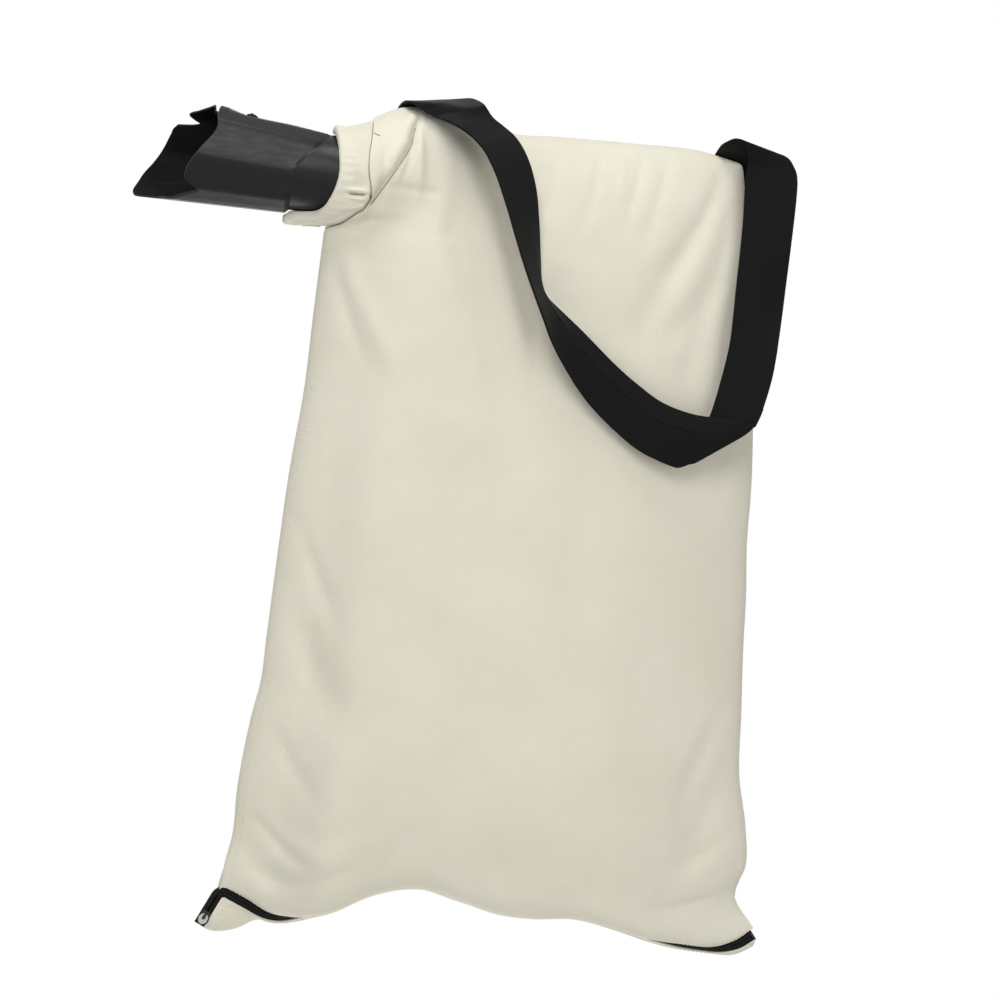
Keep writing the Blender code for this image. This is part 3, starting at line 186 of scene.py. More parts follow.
STRAP_RIGHT = [
    (1, -0.0137, -0.2029, 1.48, 0.92), (1, -0.0027, -0.1786, 1.26, 0.80),
    (1, 0.0076, -0.1379, 1.00, 0.14), (1, 0.0125, -0.1011, 0.98, -0.08),
    (1, 0.0189, -0.0479, 1.02, 0.00), (1, 0.0216, -0.0150, 1.04, -0.16),
    (1, 0.0222, -0.0010, 0.96, -0.28), (1, 0.0160, 0.0116, 0.90, -0.34),
    (1, 0.0023, 0.0098, 0.92, -0.24), (1, -0.0099, -0.0103, 0.92, -0.26),
    (1, -0.0160, -0.0407, 0.96, -0.14), (1, -0.0186, -0.0737, 1.00, 0.00),
]
# Shares across where both panels and the zip have a row of points, right of the zip's corner
BAG_COLUMNS = [0.12, 0.145, 0.17, 0.20, 0.25, 0.32, 0.40, 0.48, 0.56, 0.64, 0.71, 0.77, 0.83,
               0.88, 0.93, 0.965, 1.0]


def unit(vector):
    vector = np.asarray(vector, float)
    return vector / np.maximum(np.linalg.norm(vector, axis=-1, keepdims=True), 1e-12)


def hermite(start, end, leaving, arriving, t):
    """A cubic from start to end that leaves and arrives at the given slopes."""
    t2, t3 = t * t, t * t * t
    curve = start * (2 * t3 - 3 * t2 + 1) + leaving * (t3 - 2 * t2 + t)
    return curve + end * (3 * t2 - 2 * t3) + arriving * (t3 - t2)


def spline(p, q, r, s, t):
    """The smooth curve from q to r, with p before them and s after."""
    return 0.5 * (2 * q + (r - p) * t + (2 * p - 5 * q + 4 * r - s) * t**2 + (3 * q - p - 3 * r + s) * t**3)


def with_ends(points):
    """The points with one more at each end, straight on."""
    return np.concatenate([[2 * points[0] - points[1]], points, [2 * points[-1] - points[-2]]])


def lengths_along(line):
    return np.concatenate([[0], np.cumsum(np.linalg.norm(np.diff(line, axis=0), axis=-1))])


def row_lengths(points):
    """How far along each row of a grid lies, by the mean of its columns."""
    return np.concatenate([[0], np.cumsum(np.linalg.norm(np.diff(points, axis=0), axis=2).mean(axis=1))])


def wave(points):
    """A smooth curve through (share, height) points, with level ends of each rise."""
    shares, heights = np.array(points, float).T
    slopes = np.gradient(heights, shares)

    def height(at):
        at = np.clip(at, shares[0], shares[-1])
        k = np.clip(np.searchsorted(shares, at, side="right") - 1, 0, len(shares) - 2)
        span = shares[k + 1] - shares[k]
        t = (at - shares[k]) / span
        return hermite(heights[k], heights[k + 1], slopes[k] * span, slopes[k + 1] * span, t)

    return height


def smooth_step(x, low, high):
    t = np.clip((x - low) / (high - low), 0, 1)
    return t * t * (3 - 2 * t)


class Path:
    """A curve through points, read by its length from the start."""

    def __init__(self, points, dense=12):
        points = np.asarray(points, float)
        padded = with_ends(points)
        line = [points[0]]
        for k in range(len(points) - 1):
            line += [spline(*padded[k : k + 4], step / dense) for step in range(1, dense + 1)]
        self.line = np.array(line)
        self.along = lengths_along(self.line)
        self.length = self.along[-1]

    def at(self, length):
        return np.stack([np.interp(length, self.along, self.line[:, k]) for k in range(3)], axis=-1)

    def direction(self, length, reach=0.0008):
        ahead = self.at(np.minimum(length + reach, self.length))
        return unit(ahead - self.at(np.maximum(length - reach, 0)))


# The duct's own directions
DUCT_AXIS = np.array([math.cos(DUCT_TILT), 0, -math.sin(DUCT_TILT)])
DUCT_UP = np.array([math.sin(DUCT_TILT), 0, math.cos(DUCT_TILT)])
ACROSS, DEPTH, UP = np.eye(3)


def duct_place(along, up, depth):
    return along * DUCT_AXIS + up * DUCT_UP + depth * DEPTH


def duct_section():
    """The faceted section as (depth, up) shares, one point in each flat and three at each corner."""
    near = [(-a, b) for a, b in DUCT_SECTION]
    corners = np.array(near + [(-a, b) for a, b in near[::-1]])
    loop = []
    for k, corner in enumerate(corners):
        before, after = corners[k - 1], corners[(k + 1) % len(corners)]
        start = corner + (before - corner) * CORNER_ROUNDING
        end = corner + (after - corner) * CORNER_ROUNDING
        loop += [start, (start + end) / 4 + corner / 2, end, (corner + after) / 2]
    return with_mouth_points(np.array(loop))


def section_degrees(section):
    """Degrees round from the top towards the front."""
    return np.degrees(np.arctan2(-section[:, 0], section[:, 1])) % 360


def with_mouth_points(loop):
    """Adds a point in a flat of the section wherever the mouth's edge has a corner."""
    degrees = section_degrees(loop)
    extra = [p[0] for p in MOUTH_EDGE if np.abs(degrees - p[0]).min() > 2 and 0 < p[0] < 360]
    order = np.argsort(degrees)
    added = [np.interp(extra, degrees[order], loop[order, k], period=360) for k in range(2)]
    loop = np.concatenate([loop, np.stack(added, axis=1)])
    return loop[np.argsort(section_degrees(loop))]


def duct_loop(section, along, shrink, lip):
    """The duct's surface, each column at its own place along; lip is how much of its top stands raised."""
    scale = 1 - DUCT_TAPER * along / DUCT_HALF_HEIGHT
    faceted = section * np.array([DUCT_HALF_WIDTH, DUCT_HALF_HEIGHT]) * scale[:, None]
    faceted[:, 1] = np.minimum(faceted[:, 1], DUCT_TOP + (DUCT_HALF_HEIGHT - DUCT_TOP) * lip)
    start = shoulder_start(section)
    blend = smooth_step(along, start, start + SHOULDER_LENGTH)[:, None]
    flat = faceted * (1 - blend) + unit(section) * SPIGOT_RADIUS * blend
    flat = flat * (1 - shrink / np.linalg.norm(flat, axis=1, keepdims=True))
    return along[:, None] * DUCT_AXIS + flat[:, 1:] * DUCT_UP + flat[:, :1] * DEPTH


def shoulder_start(section):
    return SHOULDER_START + SHOULDER_RAKE * np.maximum(section[:, 1], 0) * SPIGOT_RADIUS


def duct_reach(turn, low, high):
    """The duct's outermost radius between two places along it, for each turn from its top."""
    section = duct_section()
    radii = np.zeros(len(turn))
    for share in np.linspace(0, 1, 7):
        for k, place in enumerate(low + (high - low) * share):
            loop = duct_loop(section, np.full(len(section), place), 0, 0) - place * DUCT_AXIS
            angle = np.arctan2(-loop[:, 1], loop @ DUCT_UP)
            radius = np.interp(turn[k], *by_angle(angle, np.linalg.norm(loop, axis=1)), period=2 * math.pi)
            radii[k] = max(radii[k], radius)
    return radii


def by_angle(angle, values):
    order = np.argsort(angle % (2 * math.pi))
    return (angle % (2 * math.pi))[order], values[order]


hem_line = wave(HEM_LINE)


def hem_ring(columns):
    """Directions round the duct, and the hem's middle line there."""
    turn = np.linspace(0, 2 * math.pi, columns, endpoint=False)
    outward = np.cos(turn)[:, None] * DUCT_UP - np.sin(turn)[:, None] * DEPTH
    along = hem_line(180 - np.abs(180 - np.degrees(turn)))
    radius = duct_reach(turn, along - HEM_RADIUS, along + HEM_RADIUS) + CLEARANCE + HEM_RADIUS
    return turn, outward, along, radius


NECK_CENTRE = np.array([NECK_CENTRE_X, 0, NECK_CENTRE_Z])
NECK_AXIS = np.array([math.cos(NECK_TILT), 0, -math.sin(NECK_TILT)])
NECK_UP = np.array([math.sin(NECK_TILT), 0, math.cos(NECK_TILT)])


def neck_ring(turn, radius):
    """Points of the neck's mouth; a turn of 0 is its top and grows towards the front."""
    turn = np.asarray(turn)[..., None]
    ring = NECK_CENTRE + radius * (np.cos(turn) * NECK_UP - np.sin(turn) * DEPTH)
    return ring + NECK_BELLY * np.sin(turn) ** 2 * NECK_AXIS


# Corners of the body seen from the front
TOP_LEFT = NECK_CENTRE + NECK_RADIUS * NECK_UP
NECK_BOTTOM = NECK_CENTRE - NECK_RADIUS * NECK_UP
TOP_RIGHT = TOP_LEFT + np.array([BAG_TOP_WIDTH, 0, -BAG_TOP_DROP])
BOTTOM_LEFT = TOP_LEFT + np.array([-BAG_LEFT_SPREAD, 0, -BAG_HEIGHT])
BOTTOM_RIGHT = np.array([TOP_RIGHT[0] + BAG_RIGHT_SPREAD, 0, BOTTOM_LEFT[2] - BAG_BOTTOM_DROP])
top_wave = wave(TOP_WAVE)
left_wave = wave(LEFT_WAVE)
right_wave = wave(RIGHT_WAVE)
bottom_wave = wave(BOTTOM_WAVE)


def waved(share, start, end, height, direction):
    """Places along a straight line that waves in one direction."""
    share = np.asarray(share, float)[..., None]
    return start * (1 - share) + end * share + height(share) * direction


def top_edge(share):
    return waved(share, TOP_LEFT, TOP_RIGHT, top_wave, UP)


def left_seam_line(share):
    return waved(share, NECK_BOTTOM, BOTTOM_LEFT, left_wave, ACROSS)


def right_edge(share):
    return waved(share, TOP_RIGHT, BOTTOM_RIGHT, right_wave, ACROSS)


def bottom_edge(share):
    return waved(share, BOTTOM_LEFT, BOTTOM_RIGHT, bottom_wave, UP)


SEAM_GAP = SEAM_HALF + CLEARANCE
FOOT_START = 0.93  # share down the panels where the seams end and the corners begin


def left_edge(share, side):
    """The panel's left edge: half of the neck's mouth, then the side seam."""
    share = np.asarray(share, float)
    least = math.asin(min(SEAM_GAP / NECK_RADIUS, 0.5))
    turn = least + (math.pi - 2 * least) * np.clip(share / NECK_SHARE, 0, 1)
    ring = neck_ring(turn, NECK_RADIUS)
    ring[..., 1] *= -side
    seam = left_seam_line(np.clip((share - NECK_SHARE) / (1 - NECK_SHARE), 0, 1))
    seam[..., 1] = side * SEAM_GAP
    return np.where((share < NECK_SHARE)[..., None], ring, seam)


def middle_share(across):
    """1 where the zip lies hidden under the bag, 0 at both corners."""
    return smooth_step(across, 0.08, 0.20) * (1 - smooth_step(across, 0.70, 0.95))


def under_turn(across):
    """The angle by which the zip faces the ground."""
    share = smooth_step(across, 0.005, 0.15) * (1 - smooth_step(across, 0.90, 1.0))
    return ZIP_UNDER_TURN * share


def roll_line(across, side):
    """The bag's lowest fold, in front of the zip or behind it."""
    line = bottom_edge(across)
    edge = CORNER_FORWARD + ZIP_TAPE_THICKNESS + CANVAS + CLEARANCE
    edge = edge + ZIP_TAPE_HALF * np.sin(under_turn(across))
    if side > 0:
        edge = FLAP_DEPTH
        drop = (ZIP_BELOW + ZIP_TAPE_HALF + ZIP_HEM) * np.cos(under_turn(across))
        line[..., 2] -= drop * (1 - middle_share(across))
        line[..., 2] -= LEFT_FLAP_DROP * (1 - smooth_step(across, 0, 0.8 * FLAP_SHARE))
        line[..., 2] -= RIGHT_FLAP_DROP * smooth_step(across, 0.94, 1.0)
        line[..., 0] -= LEFT_FLAP_REACH * (1 - smooth_step(across, 0, 0.4 * FLAP_SHARE))
        line[..., 2] += CANVAS * middle_share(across)
    line[..., 1] = side * (edge + (ROLL_DEPTH - edge) * middle_share(across))
    return line


def lines_depth(across, down, lines, margin, power):
    """How far creases or folds push the cloth inwards; each fades towards its two ends."""
    total = np.zeros_like(across)
    width, height = BAG_TOP_WIDTH + BAG_LEFT_SPREAD, BAG_HEIGHT
    for a0, d0, a1, d1, reach, depth in lines:
        start = np.array([a0 * width, d0 * height])
        line = np.array([a1 * width, d1 * height]) - start
        apart = np.stack([across * width, down * height], axis=-1) - start
        share = np.clip((apart @ line) / (line @ line), 0, 1)
        near = np.linalg.norm(apart - share[..., None] * line, axis=-1)
        ends = np.sin(math.pi * np.clip(margin + (1 - 2 * margin) * share, 0, 1)) ** power
        total += depth * ends * np.exp(-((near / reach) ** 2))
    return total


def bulge_depth(across, down, side):
    """How far the panel stands out between its edges, less its folds."""
    crown = (np.clip(4 * across * (1 - across), 0, 1)) ** 0.55
    fall = np.clip(1 - (1 - np.clip(down / 0.30, 0, 1)) ** 2, 0, 1) ** 0.5
    foot = np.clip(1 - (1 - np.clip((1 - down) / 0.22, 0, 1)) ** 2, 0, 1) ** 0.5
    depth = (FRONT_BULGE if side < 0 else BACK_BULGE) * crown * fall * foot
    if side < 0:
        keep = np.minimum(1, 12 * across * (1 - across))
        keep = keep * np.minimum(1, 10 * (1 - down) * np.minimum(down * 3, 1))
        depth = depth - lines_depth(across, down, FRONT_FOLDS, 0.12, 1) * np.clip(keep, 0, 1)
    return np.maximum(depth, 0)


def body(across, down, side):
    """A point of the panel's outer surface; side is -1 in front and +1 behind."""
    across, down = np.asarray(across, float), np.asarray(down, float)
    a, d = across[..., None], down[..., None]
    top = top_edge(across)
    top[..., 1] = side * SEAM_GAP
    top[..., 2] -= top_wave(across) * (1 - (1 - down) ** WAVE_FADE)
    right = right_edge(down)
    right[..., 1] = side * SEAM_GAP
    left = left_edge(down, side)
    bottom = roll_line(across, side)
    corners = [top_edge(np.zeros(1))[0], top_edge(np.ones(1))[0]]
    corners += [roll_line(np.zeros(1), side)[0], roll_line(np.ones(1), side)[0]]
    corners[0][1] = corners[1][1] = side * SEAM_GAP
    near_foot = smooth_step(d, FOOT_START, 1)
    left = left + near_foot * (corners[2] - left_edge(np.ones(1), side)[0])
    right = right + near_foot * (corners[3] - right_edge(np.ones(1))[0] - side * SEAM_GAP * DEPTH)
    round_neck = (left[..., 1] * side - SEAM_GAP) * (1 - smooth_step(across, 0, NECK_REACH))
    left[..., 1] = np.where(down < NECK_SHARE, side * SEAM_GAP, left[..., 1])
    flat = (1 - d) * top + d * bottom + (1 - a) * left + a * right
    flat = flat - (1 - a) * (1 - d) * corners[0] - a * (1 - d) * corners[1]
    flat = flat - (1 - a) * d * corners[2] - a * d * corners[3]
    round_neck = np.where(down < NECK_SHARE, np.maximum(round_neck, 0), 0)
    flat[..., 1] += side * (bulge_depth(across, down, side) ** 3 + round_neck**3) ** (1 / 3)
    return flat


def zip_line():
    """The zip's middle line: up the tail, round its corner, then along the bottom edge."""
    shares = [0.045, 0.08, 0.11, 0.14, 0.17, 0.20, 0.28, 0.37, 0.46, 0.56, 0.66, 0.74, 0.82, 0.88]
    shares = np.array(shares + [0.93, 0.97, 1.0])
    hidden = middle_share(shares)
    run = bottom_edge(shares)
    shown = np.cos(under_turn(shares))
    run[:, 2] += ZIP_BELOW * (hidden * (1 + shown) - shown)
    run[:, 1] = -CORNER_FORWARD * (1 - hidden)
    lean = np.array([math.cos(ZIP_TAIL_LEAN), 0, math.sin(ZIP_TAIL_LEAN)])
    corner = BOTTOM_LEFT + np.array([-0.0010, -CORNER_FORWARD, -0.0030])
    start = corner - ZIP_TAIL * lean
    onward = unit(run[0] - corner)
    turn = math.acos(float(np.clip(lean @ onward, -1, 1)))
    cut = ZIP_CORNER_RADIUS * math.tan(turn / 2)
    before, after = corner - cut * lean, corner + cut * onward
    bisector = unit(onward - lean)
    centre = corner + bisector * ZIP_CORNER_RADIUS / math.cos(turn / 2)
    arc = []
    for share in np.linspace(0, 1, 7):
        flat = before * (1 - share) + after * share
        arc.append(centre + unit(flat - centre) * ZIP_CORNER_RADIUS)
    straight = [start + (before - start) * share for share in (0, 0.25, 0.5, 0.75)]
    path = Path(straight + arc + list(run))
    path.bend = ZIP_TAIL - cut + ZIP_CORNER_RADIUS * turn * np.linspace(0, 1, 5)
    path.corner = path.bend[2]
    return path


def zip_frame(path, along):
    """Middle, direction across towards the front panel, and outward direction."""
    middle = path.at(along)
    ahead = path.direction(along)
    flat_across = unit(np.stack([-ahead[:, 2], np.zeros(len(along)), ahead[:, 0]], axis=-1))
    across = np.clip((middle[:, 0] - BOTTOM_LEFT[0]) / (BOTTOM_RIGHT[0] - BOTTOM_LEFT[0]), 0, 1)
    turn = under_turn(across)[:, None]
    towards = np.cos(turn) * flat_across - np.sin(turn) * DEPTH
    outward = -np.sin(turn) * flat_across - np.cos(turn) * DEPTH
    return middle, towards, outward


def zip_at(path, beside):
    """Lengths along the zip, past its corner, at places to the right."""
    past = path.along >= path.corner
    return np.interp(beside, path.line[past, 0], path.along[past])


def corner_stations(path):
    """Lengths along the zip's tail, its bend and on to the first shared column."""
    last = zip_at(path, bottom_edge(FLAP_SHARE)[0])
    onward = np.linspace(path.bend[-1], last, 5)[1:]
    return np.concatenate([[0, path.bend[0] / 2], path.bend, onward])


def travel_end():
    return SLIDER_POSITION + SLIDER_LENGTH / 2 + SLIDER_TRAVEL


def lane_half(along):
    """Half the gap between the coils: wide where the slider travels, then closed."""
    closing = smooth_step(along, travel_end(), travel_end() + 0.003)
    return (SLIDER_LANE * (1 - closing) + ZIP_LANE * closing) / 2


def strip(path, along, near, far, low, high):
    """Outer and inner grids of a flat strip beside the zip's middle line."""
    middle, towards, outward = zip_frame(path, along)
    near = np.broadcast_to(near, along.shape)[:, None]
    far = np.broadcast_to(far, along.shape)[:, None]
    flat = np.stack([middle + near * towards, middle + far * towards], axis=1)
    return flat + high * outward[:, None], flat + low * outward[:, None]


def slider_levels():
    """Heights of the slider's plates: the back plate's two faces, then the front plate's."""
    half = ZIP_TAPE_THICKNESS / 2
    under = -half - CLEARANCE
    over = half + CLEARANCE + ZIP_COIL_HEIGHT + CLEARANCE
    return under - SLIDER_PLATE, under, over, over + SLIDER_PLATE


def panel_columns(side, path):
    """Shares across a panel, and how far along the zip each of its columns meets it."""
    corner = corner_stations(path)
    if side < 0:
        corner = corner[corner >= path.corner]
        beside = path.at(corner)[:, 0]
        shares = FLAP_SHARE * (beside - beside[0]) / (beside[-1] - beside[0])
    else:
        shares = FLAP_SHARE * corner / corner[-1]
    shared = zip_at(path, bottom_edge(BAG_COLUMNS)[:, 0])
    return np.concatenate([shares, BAG_COLUMNS]), np.concatenate([corner, shared])


def plain_normals(points):
    return unit(np.cross(np.gradient(points, axis=0), np.gradient(points, axis=1)))


def grid_normals(points, side):
    normal = plain_normals(points)
    middle = normal[points.shape[0] // 2, points.shape[1] // 2]
    return normal * (1 if middle[1] * side > 0 else -1)


def depth_of(points, at, side):
    """The panel's depth behind or before places seen from the front, by its nearest points."""
    flat = points.reshape(-1, 3)
    apart = (flat[:, 0] - at[..., 0, None]) ** 2 + (flat[:, 2] - at[..., 2, None]) ** 2
    depths = flat[np.argsort(apart, axis=-1)[..., :5], 1]
    return depths.max(axis=-1) if side > 0 else depths.min(axis=-1)


def strap_rows(route, share):
    """Middles and half spans of the strap's rows, on a smooth curve through the route."""
    controls = np.array(route, float)
    padded = with_ends(controls)
    k = np.clip(share.astype(int), 0, len(controls) - 2)
    rows = spline(*(padded[k + step] for step in range(4)), (share - k)[:, None])
    start = top_edge(np.array([STRAP_START]))[0]
    base = start + rows[:, :1] * (TOP_RIGHT - start)
    level = np.zeros(len(share))
    middle = base + np.stack([rows[:, 1], level, rows[:, 2]], axis=1)
    span = np.stack([rows[:, 3], level, rows[:, 4]], axis=1) * STRAP_WIDTH / 2
    return middle, span


STRAP_SHARES = np.array([1.0, 0.45, 0.0, -0.5, -1.0])  # columns across the strap, in half widths
RIGHT_ROWS = 22  # of the strap's right run
BEND_DEGREES = (30, 65, 115, 150)  # rows round the slanted fold's bend


def strap_surface():
    """The strap's middle surface as rows of columns, from its left sewn end to its right one."""
    places = np.meshgrid(np.linspace(0, 1, 60), np.linspace(0, 1, 80))
    left_rows = [np.linspace(0, 3, 5)[:-1], np.linspace(3, 6, 13)[:-1], np.linspace(6, 19, 19)]
    left_rows = np.concatenate(left_rows)
    right_rows = np.linspace(0, 11, RIGHT_ROWS)
    left, left_span = strap_rows(STRAP_LEFT, left_rows)
    right, right_span = strap_rows(STRAP_RIGHT, right_rows)
    span = np.concatenate([left_span, right_span])
    turn_row = len(left)
    reach = np.linalg.norm(span, axis=1) / (STRAP_WIDTH / 2)
    tilt = np.sqrt(np.clip(1 - reach**2, 0, 1)) * STRAP_WIDTH / 2
    points = np.concatenate([left, right])[:, None] + STRAP_SHARES[None, :, None] * span[:, None]
    before, behind = (depth_of(body(*places, side), points, side) for side in (-1, 1))
    rise = STRAP_THICKNESS / 2 + STRAP_LIFT
    need = (before - rise - tilt[:, None] * STRAP_SHARES).min(axis=1)
    need = running(running(need, np.min, 1), np.mean, 1)
    hung = need[:, None] + tilt[:, None] * STRAP_SHARES
    sewn = behind + STRAP_THICKNESS / 2 + STRAP_SEAT
    right_over = np.tile(1 - smooth_step(right_rows, 7.5, 8.8), (len(STRAP_SHARES), 1)).T
    over = np.concatenate([crest_crossing(points[:turn_row]), right_over])
    depth = sewn * (1 - over) + hung * over
    depth[:turn_row] -= 2 * FOLD_RADIUS * smooth_step(left_rows, 13, 17)[:, None]
    points[..., 1] = depth
    return fold_over(points, turn_row)


def crest_crossing(points):
    """0 behind the bag and 1 in front; each column crosses while it is above the top edge."""
    share = (points[..., 0] - TOP_LEFT[0]) / (TOP_RIGHT[0] - TOP_LEFT[0])
    height = points[..., 2] - top_edge(np.clip(share, 0, 1))[..., 2]
    rows = np.arange(len(points))
    over = np.zeros(height.shape)
    for k in range(height.shape[1]):
        above = np.flatnonzero(height[:, k] > CREST_RISE)
        over[:, k] = smooth_step(rows, above[0], above[-1])
    return over


def running(values, pick, reach):
    padded = np.pad(values, reach, mode="edge")
    return np.array([pick(padded[k : k + 2 * reach + 1]) for k in range(len(values))])


def fold_over(points, turn_row):
    """Puts a round bend between the front layer and the layer behind it, along the slanted fold."""
    edge = points[turn_row - 1]
    line = unit(edge[0] - edge[-1])
    outward = unit(np.cross(DEPTH, line))
    outward = outward if outward[2] < 0 else -outward
    bend = []
    for degrees in BEND_DEGREES:
        turn = math.radians(degrees)
        shift = FOLD_RADIUS * (math.sin(turn) * outward + (1 - math.cos(turn)) * DEPTH)
        bend.append(edge + shift)
    return np.concatenate([points[:turn_row], np.array(bend), points[turn_row:]])


# Fine shapes

ZIP_GUARD_HALF = 0.0034  # of the woven strip behind the coils
ZIP_GUARD_THICKNESS = 0.0004
# Points of the panels' cloth: columns beyond the neck and beside it, rows beside the neck and below it
FINE_COLUMNS = 118
NECK_COLUMNS = 56
NECK_LINES = 72
FINE_ROWS = 146
NECK_ACROSS = 0.15  # share across with the closest columns
TURN_ROWS = 8  # of the panels' edges, turned to the zip
FLAT_WIDTH = 0.40  # of the panels' cloth
# Creases of the cloth: start and end as shares across and down, half width, depth inwards
FRONT_CREASES = [
    (0.02, 0.030, 0.10, 0.150, 0.0050, 0.0030), (0.10, 0.020, 0.17, 0.110, 0.0050, -0.0022),
    (0.12, 0.010, 0.11, 0.090, 0.0040, 0.0028), (0.05, 0.150, 0.16, 0.135, 0.0060, 0.0030),
    (0.03, 0.185, 0.20, 0.330, 0.0090, -0.0022), (0.02, 0.210, 0.13, 0.330, 0.0070, 0.0016),
    (0.22, 0.030, 0.36, 0.260, 0.0100, 0.0022), (0.50, 0.020, 0.46, 0.160, 0.0080, 0.0016),
    (0.62, 0.010, 0.58, 0.120, 0.0060, 0.0016), (0.68, 0.012, 0.66, 0.090, 0.0050, -0.0012),
    (0.73, 0.010, 0.69, 0.100, 0.0050, 0.0016), (0.80, 0.012, 0.74, 0.120, 0.0070, 0.0014),
    (0.95, 0.020, 0.80, 0.170, 0.0080, 0.0026), (0.97, 0.060, 0.84, 0.290, 0.0100, 0.0026),
    (0.96, 0.180, 0.93, 0.420, 0.0080, 0.0024), (0.40, 0.300, 0.52, 0.620, 0.0140, 0.0018),
    (0.30, 0.450, 0.36, 0.800, 0.0120, 0.0014), (0.62, 0.420, 0.66, 0.780, 0.0130, 0.0014),
    (0.02, 0.530, 0.14, 0.640, 0.0080, 0.0022), (0.03, 0.780, 0.16, 0.860, 0.0080, 0.0018),
    (0.02, 0.900, 0.16, 0.940, 0.0060, 0.0026), (0.05, 0.960, 0.26, 0.955, 0.0060, 0.0022),
    (0.96, 0.700, 0.86, 0.850, 0.0080, 0.0022), (0.98, 0.860, 0.87, 0.900, 0.0060, 0.0022),
    (0.97, 0.940, 0.84, 0.960, 0.0050, 0.0024), (0.50, 0.900, 0.56, 0.985, 0.0080, 0.0020),
    (0.34, 0.930, 0.30, 0.990, 0.0070, 0.0018), (0.70, 0.880, 0.74, 0.985, 0.0090, 0.0018),
]
BACK_CREASES = [
    (0.04, 0.040, 0.20, 0.220, 0.0080, 0.0030), (0.20, 0.060, 0.34, 0.340, 0.0120, 0.0030),
    (0.60, 0.060, 0.52, 0.300, 0.0120, 0.0024), (0.92, 0.100, 0.78, 0.340, 0.0120, 0.0030),
    (0.04, 0.500, 0.22, 0.700, 0.0120, 0.0026), (0.40, 0.300, 0.48, 0.760, 0.0160, 0.0024),
    (0.96, 0.600, 0.84, 0.840, 0.0110, 0.0028), (0.10, 0.880, 0.30, 0.960, 0.0090, 0.0028),
    (0.70, 0.860, 0.64, 0.980, 0.0100, 0.0024), (0.90, 0.900, 0.80, 0.970, 0.0080, 0.0026),
]
SWELL = 0.0011  # of the cloth's slow, uneven waves
SWELL_SIZE = 0.055
RIPPLE = 0.00035
RIPPLE_SIZE = 0.016


def grid_mesh(name, outer, inner, look, uv, closed=False):
    """A sheet between two grids of points, with its flat coordinates in metres as its UV map."""
    rows, columns = outer.shape[:2]
    count = rows * columns
    points = np.concatenate([outer.reshape(-1, 3), inner.reshape(-1, 3)])
    i, j = np.meshgrid(np.arange(rows - 1), np.arange(columns if closed else columns - 1), indexing="ij")
    i, j = i.ravel(), j.ravel()
    near, far = j, (j + 1) % columns
    a, b = i * columns + near, (i + 1) * columns + near
    c, d = (i + 1) * columns + far, i * columns + far
    faces = [np.stack([a, b, c, d], axis=1), np.stack([a, d, c, b], axis=1) + count]
    near = np.arange(columns if closed else columns - 1)
    far = (near + 1) % columns
    last = (rows - 1) * columns
    faces.append(np.stack([near, far, far + count, near + count], axis=1))
    faces.append(np.stack([last + near, last + near + count, last + far + count, last + far], axis=1))
    if not closed:
        up = np.arange(rows - 1) * columns
        down = up + columns
        end = columns - 1
        faces.append(np.stack([up, up + count, down + count, down], axis=1))
        faces.append(np.stack([up + end, down + end, down + end + count, up + end + count], axis=1))
    faces = np.concatenate(faces)
    if signed_volume_of(points, faces) < 0:
        faces = faces[:, ::-1]
    mesh = bpy.data.meshes.new(name)
    mesh.from_pydata(points.tolist(), [], faces.tolist())
    set_uv(mesh, np.tile(uv.reshape(-1, 2), (2, 1)))
    return finish_mesh(name, mesh, look)


def set_uv(mesh, uv):
    """Gives each face's corners the flat coordinates of their points."""
    layer = mesh.uv_layers.new(name="UVMap")
    corner = np.zeros(len(mesh.loops), int)
    mesh.loops.foreach_get("vertex_index", corner)
    layer.data.foreach_set("uv", uv[corner].ravel().astype(np.float32))


def circle(centre, across, up, count):
    """Points round each centre, from one half axis towards the other."""
    turn = np.linspace(0, 2 * math.pi, count, endpoint=False)[:, None]
    return centre[..., None, :] + np.cos(turn) * across[..., None, :] + np.sin(turn) * up[..., None, :]


def tubes_mesh(name, tubes, look, smooth_angle=50):
    """Closed tubes, each a grid of rings and their points, all in one piece."""
    faces, count = [], 0
    for rings in tubes:
        rows, size = rings.shape[:2]
        i, j = np.meshgrid(np.arange(rows - 1), np.arange(size), indexing="ij")
        a, b = (count + i * size + j).ravel(), (count + i * size + (j + 1) % size).ravel()
        faces += np.stack([a, b, b + size, a + size], axis=1).tolist()
        first = range(count, count + size)
        faces += [list(first)[::-1], [k + (rows - 1) * size for k in first]]
        count += rows * size
    mesh = bpy.data.meshes.new(name)
    mesh.from_pydata(np.concatenate([rings.reshape(-1, 3) for rings in tubes]).tolist(), [], faces)
    return finish_mesh(name, mesh, look, smooth_angle)


def signed_volume_of(points, faces):
    a, b, c, d = (points[faces[:, k]] for k in range(4))
    return float((a * np.cross(b, c)).sum() + (a * np.cross(c, d)).sum())


def finish_mesh(name, mesh, look, smooth_angle=50):
    mesh.validate()
    mesh.shade_smooth()
    mesh.set_sharp_from_angle(angle=math.radians(smooth_angle))
    mesh.materials.append(look)
    made = bpy.data.objects.new(name, mesh)
    bpy.context.scene.collection.objects.link(made)
    return made


def uneven(points, size, seed):
    shift = Vector((seed * 3.1, seed * 1.7, seed * 2.3))
    flat = points.reshape(-1, 3)
    values = [noise.noise(Vector(p) / size + shift) for p in flat.tolist()]
    return np.array(values).reshape(points.shape[:-1])


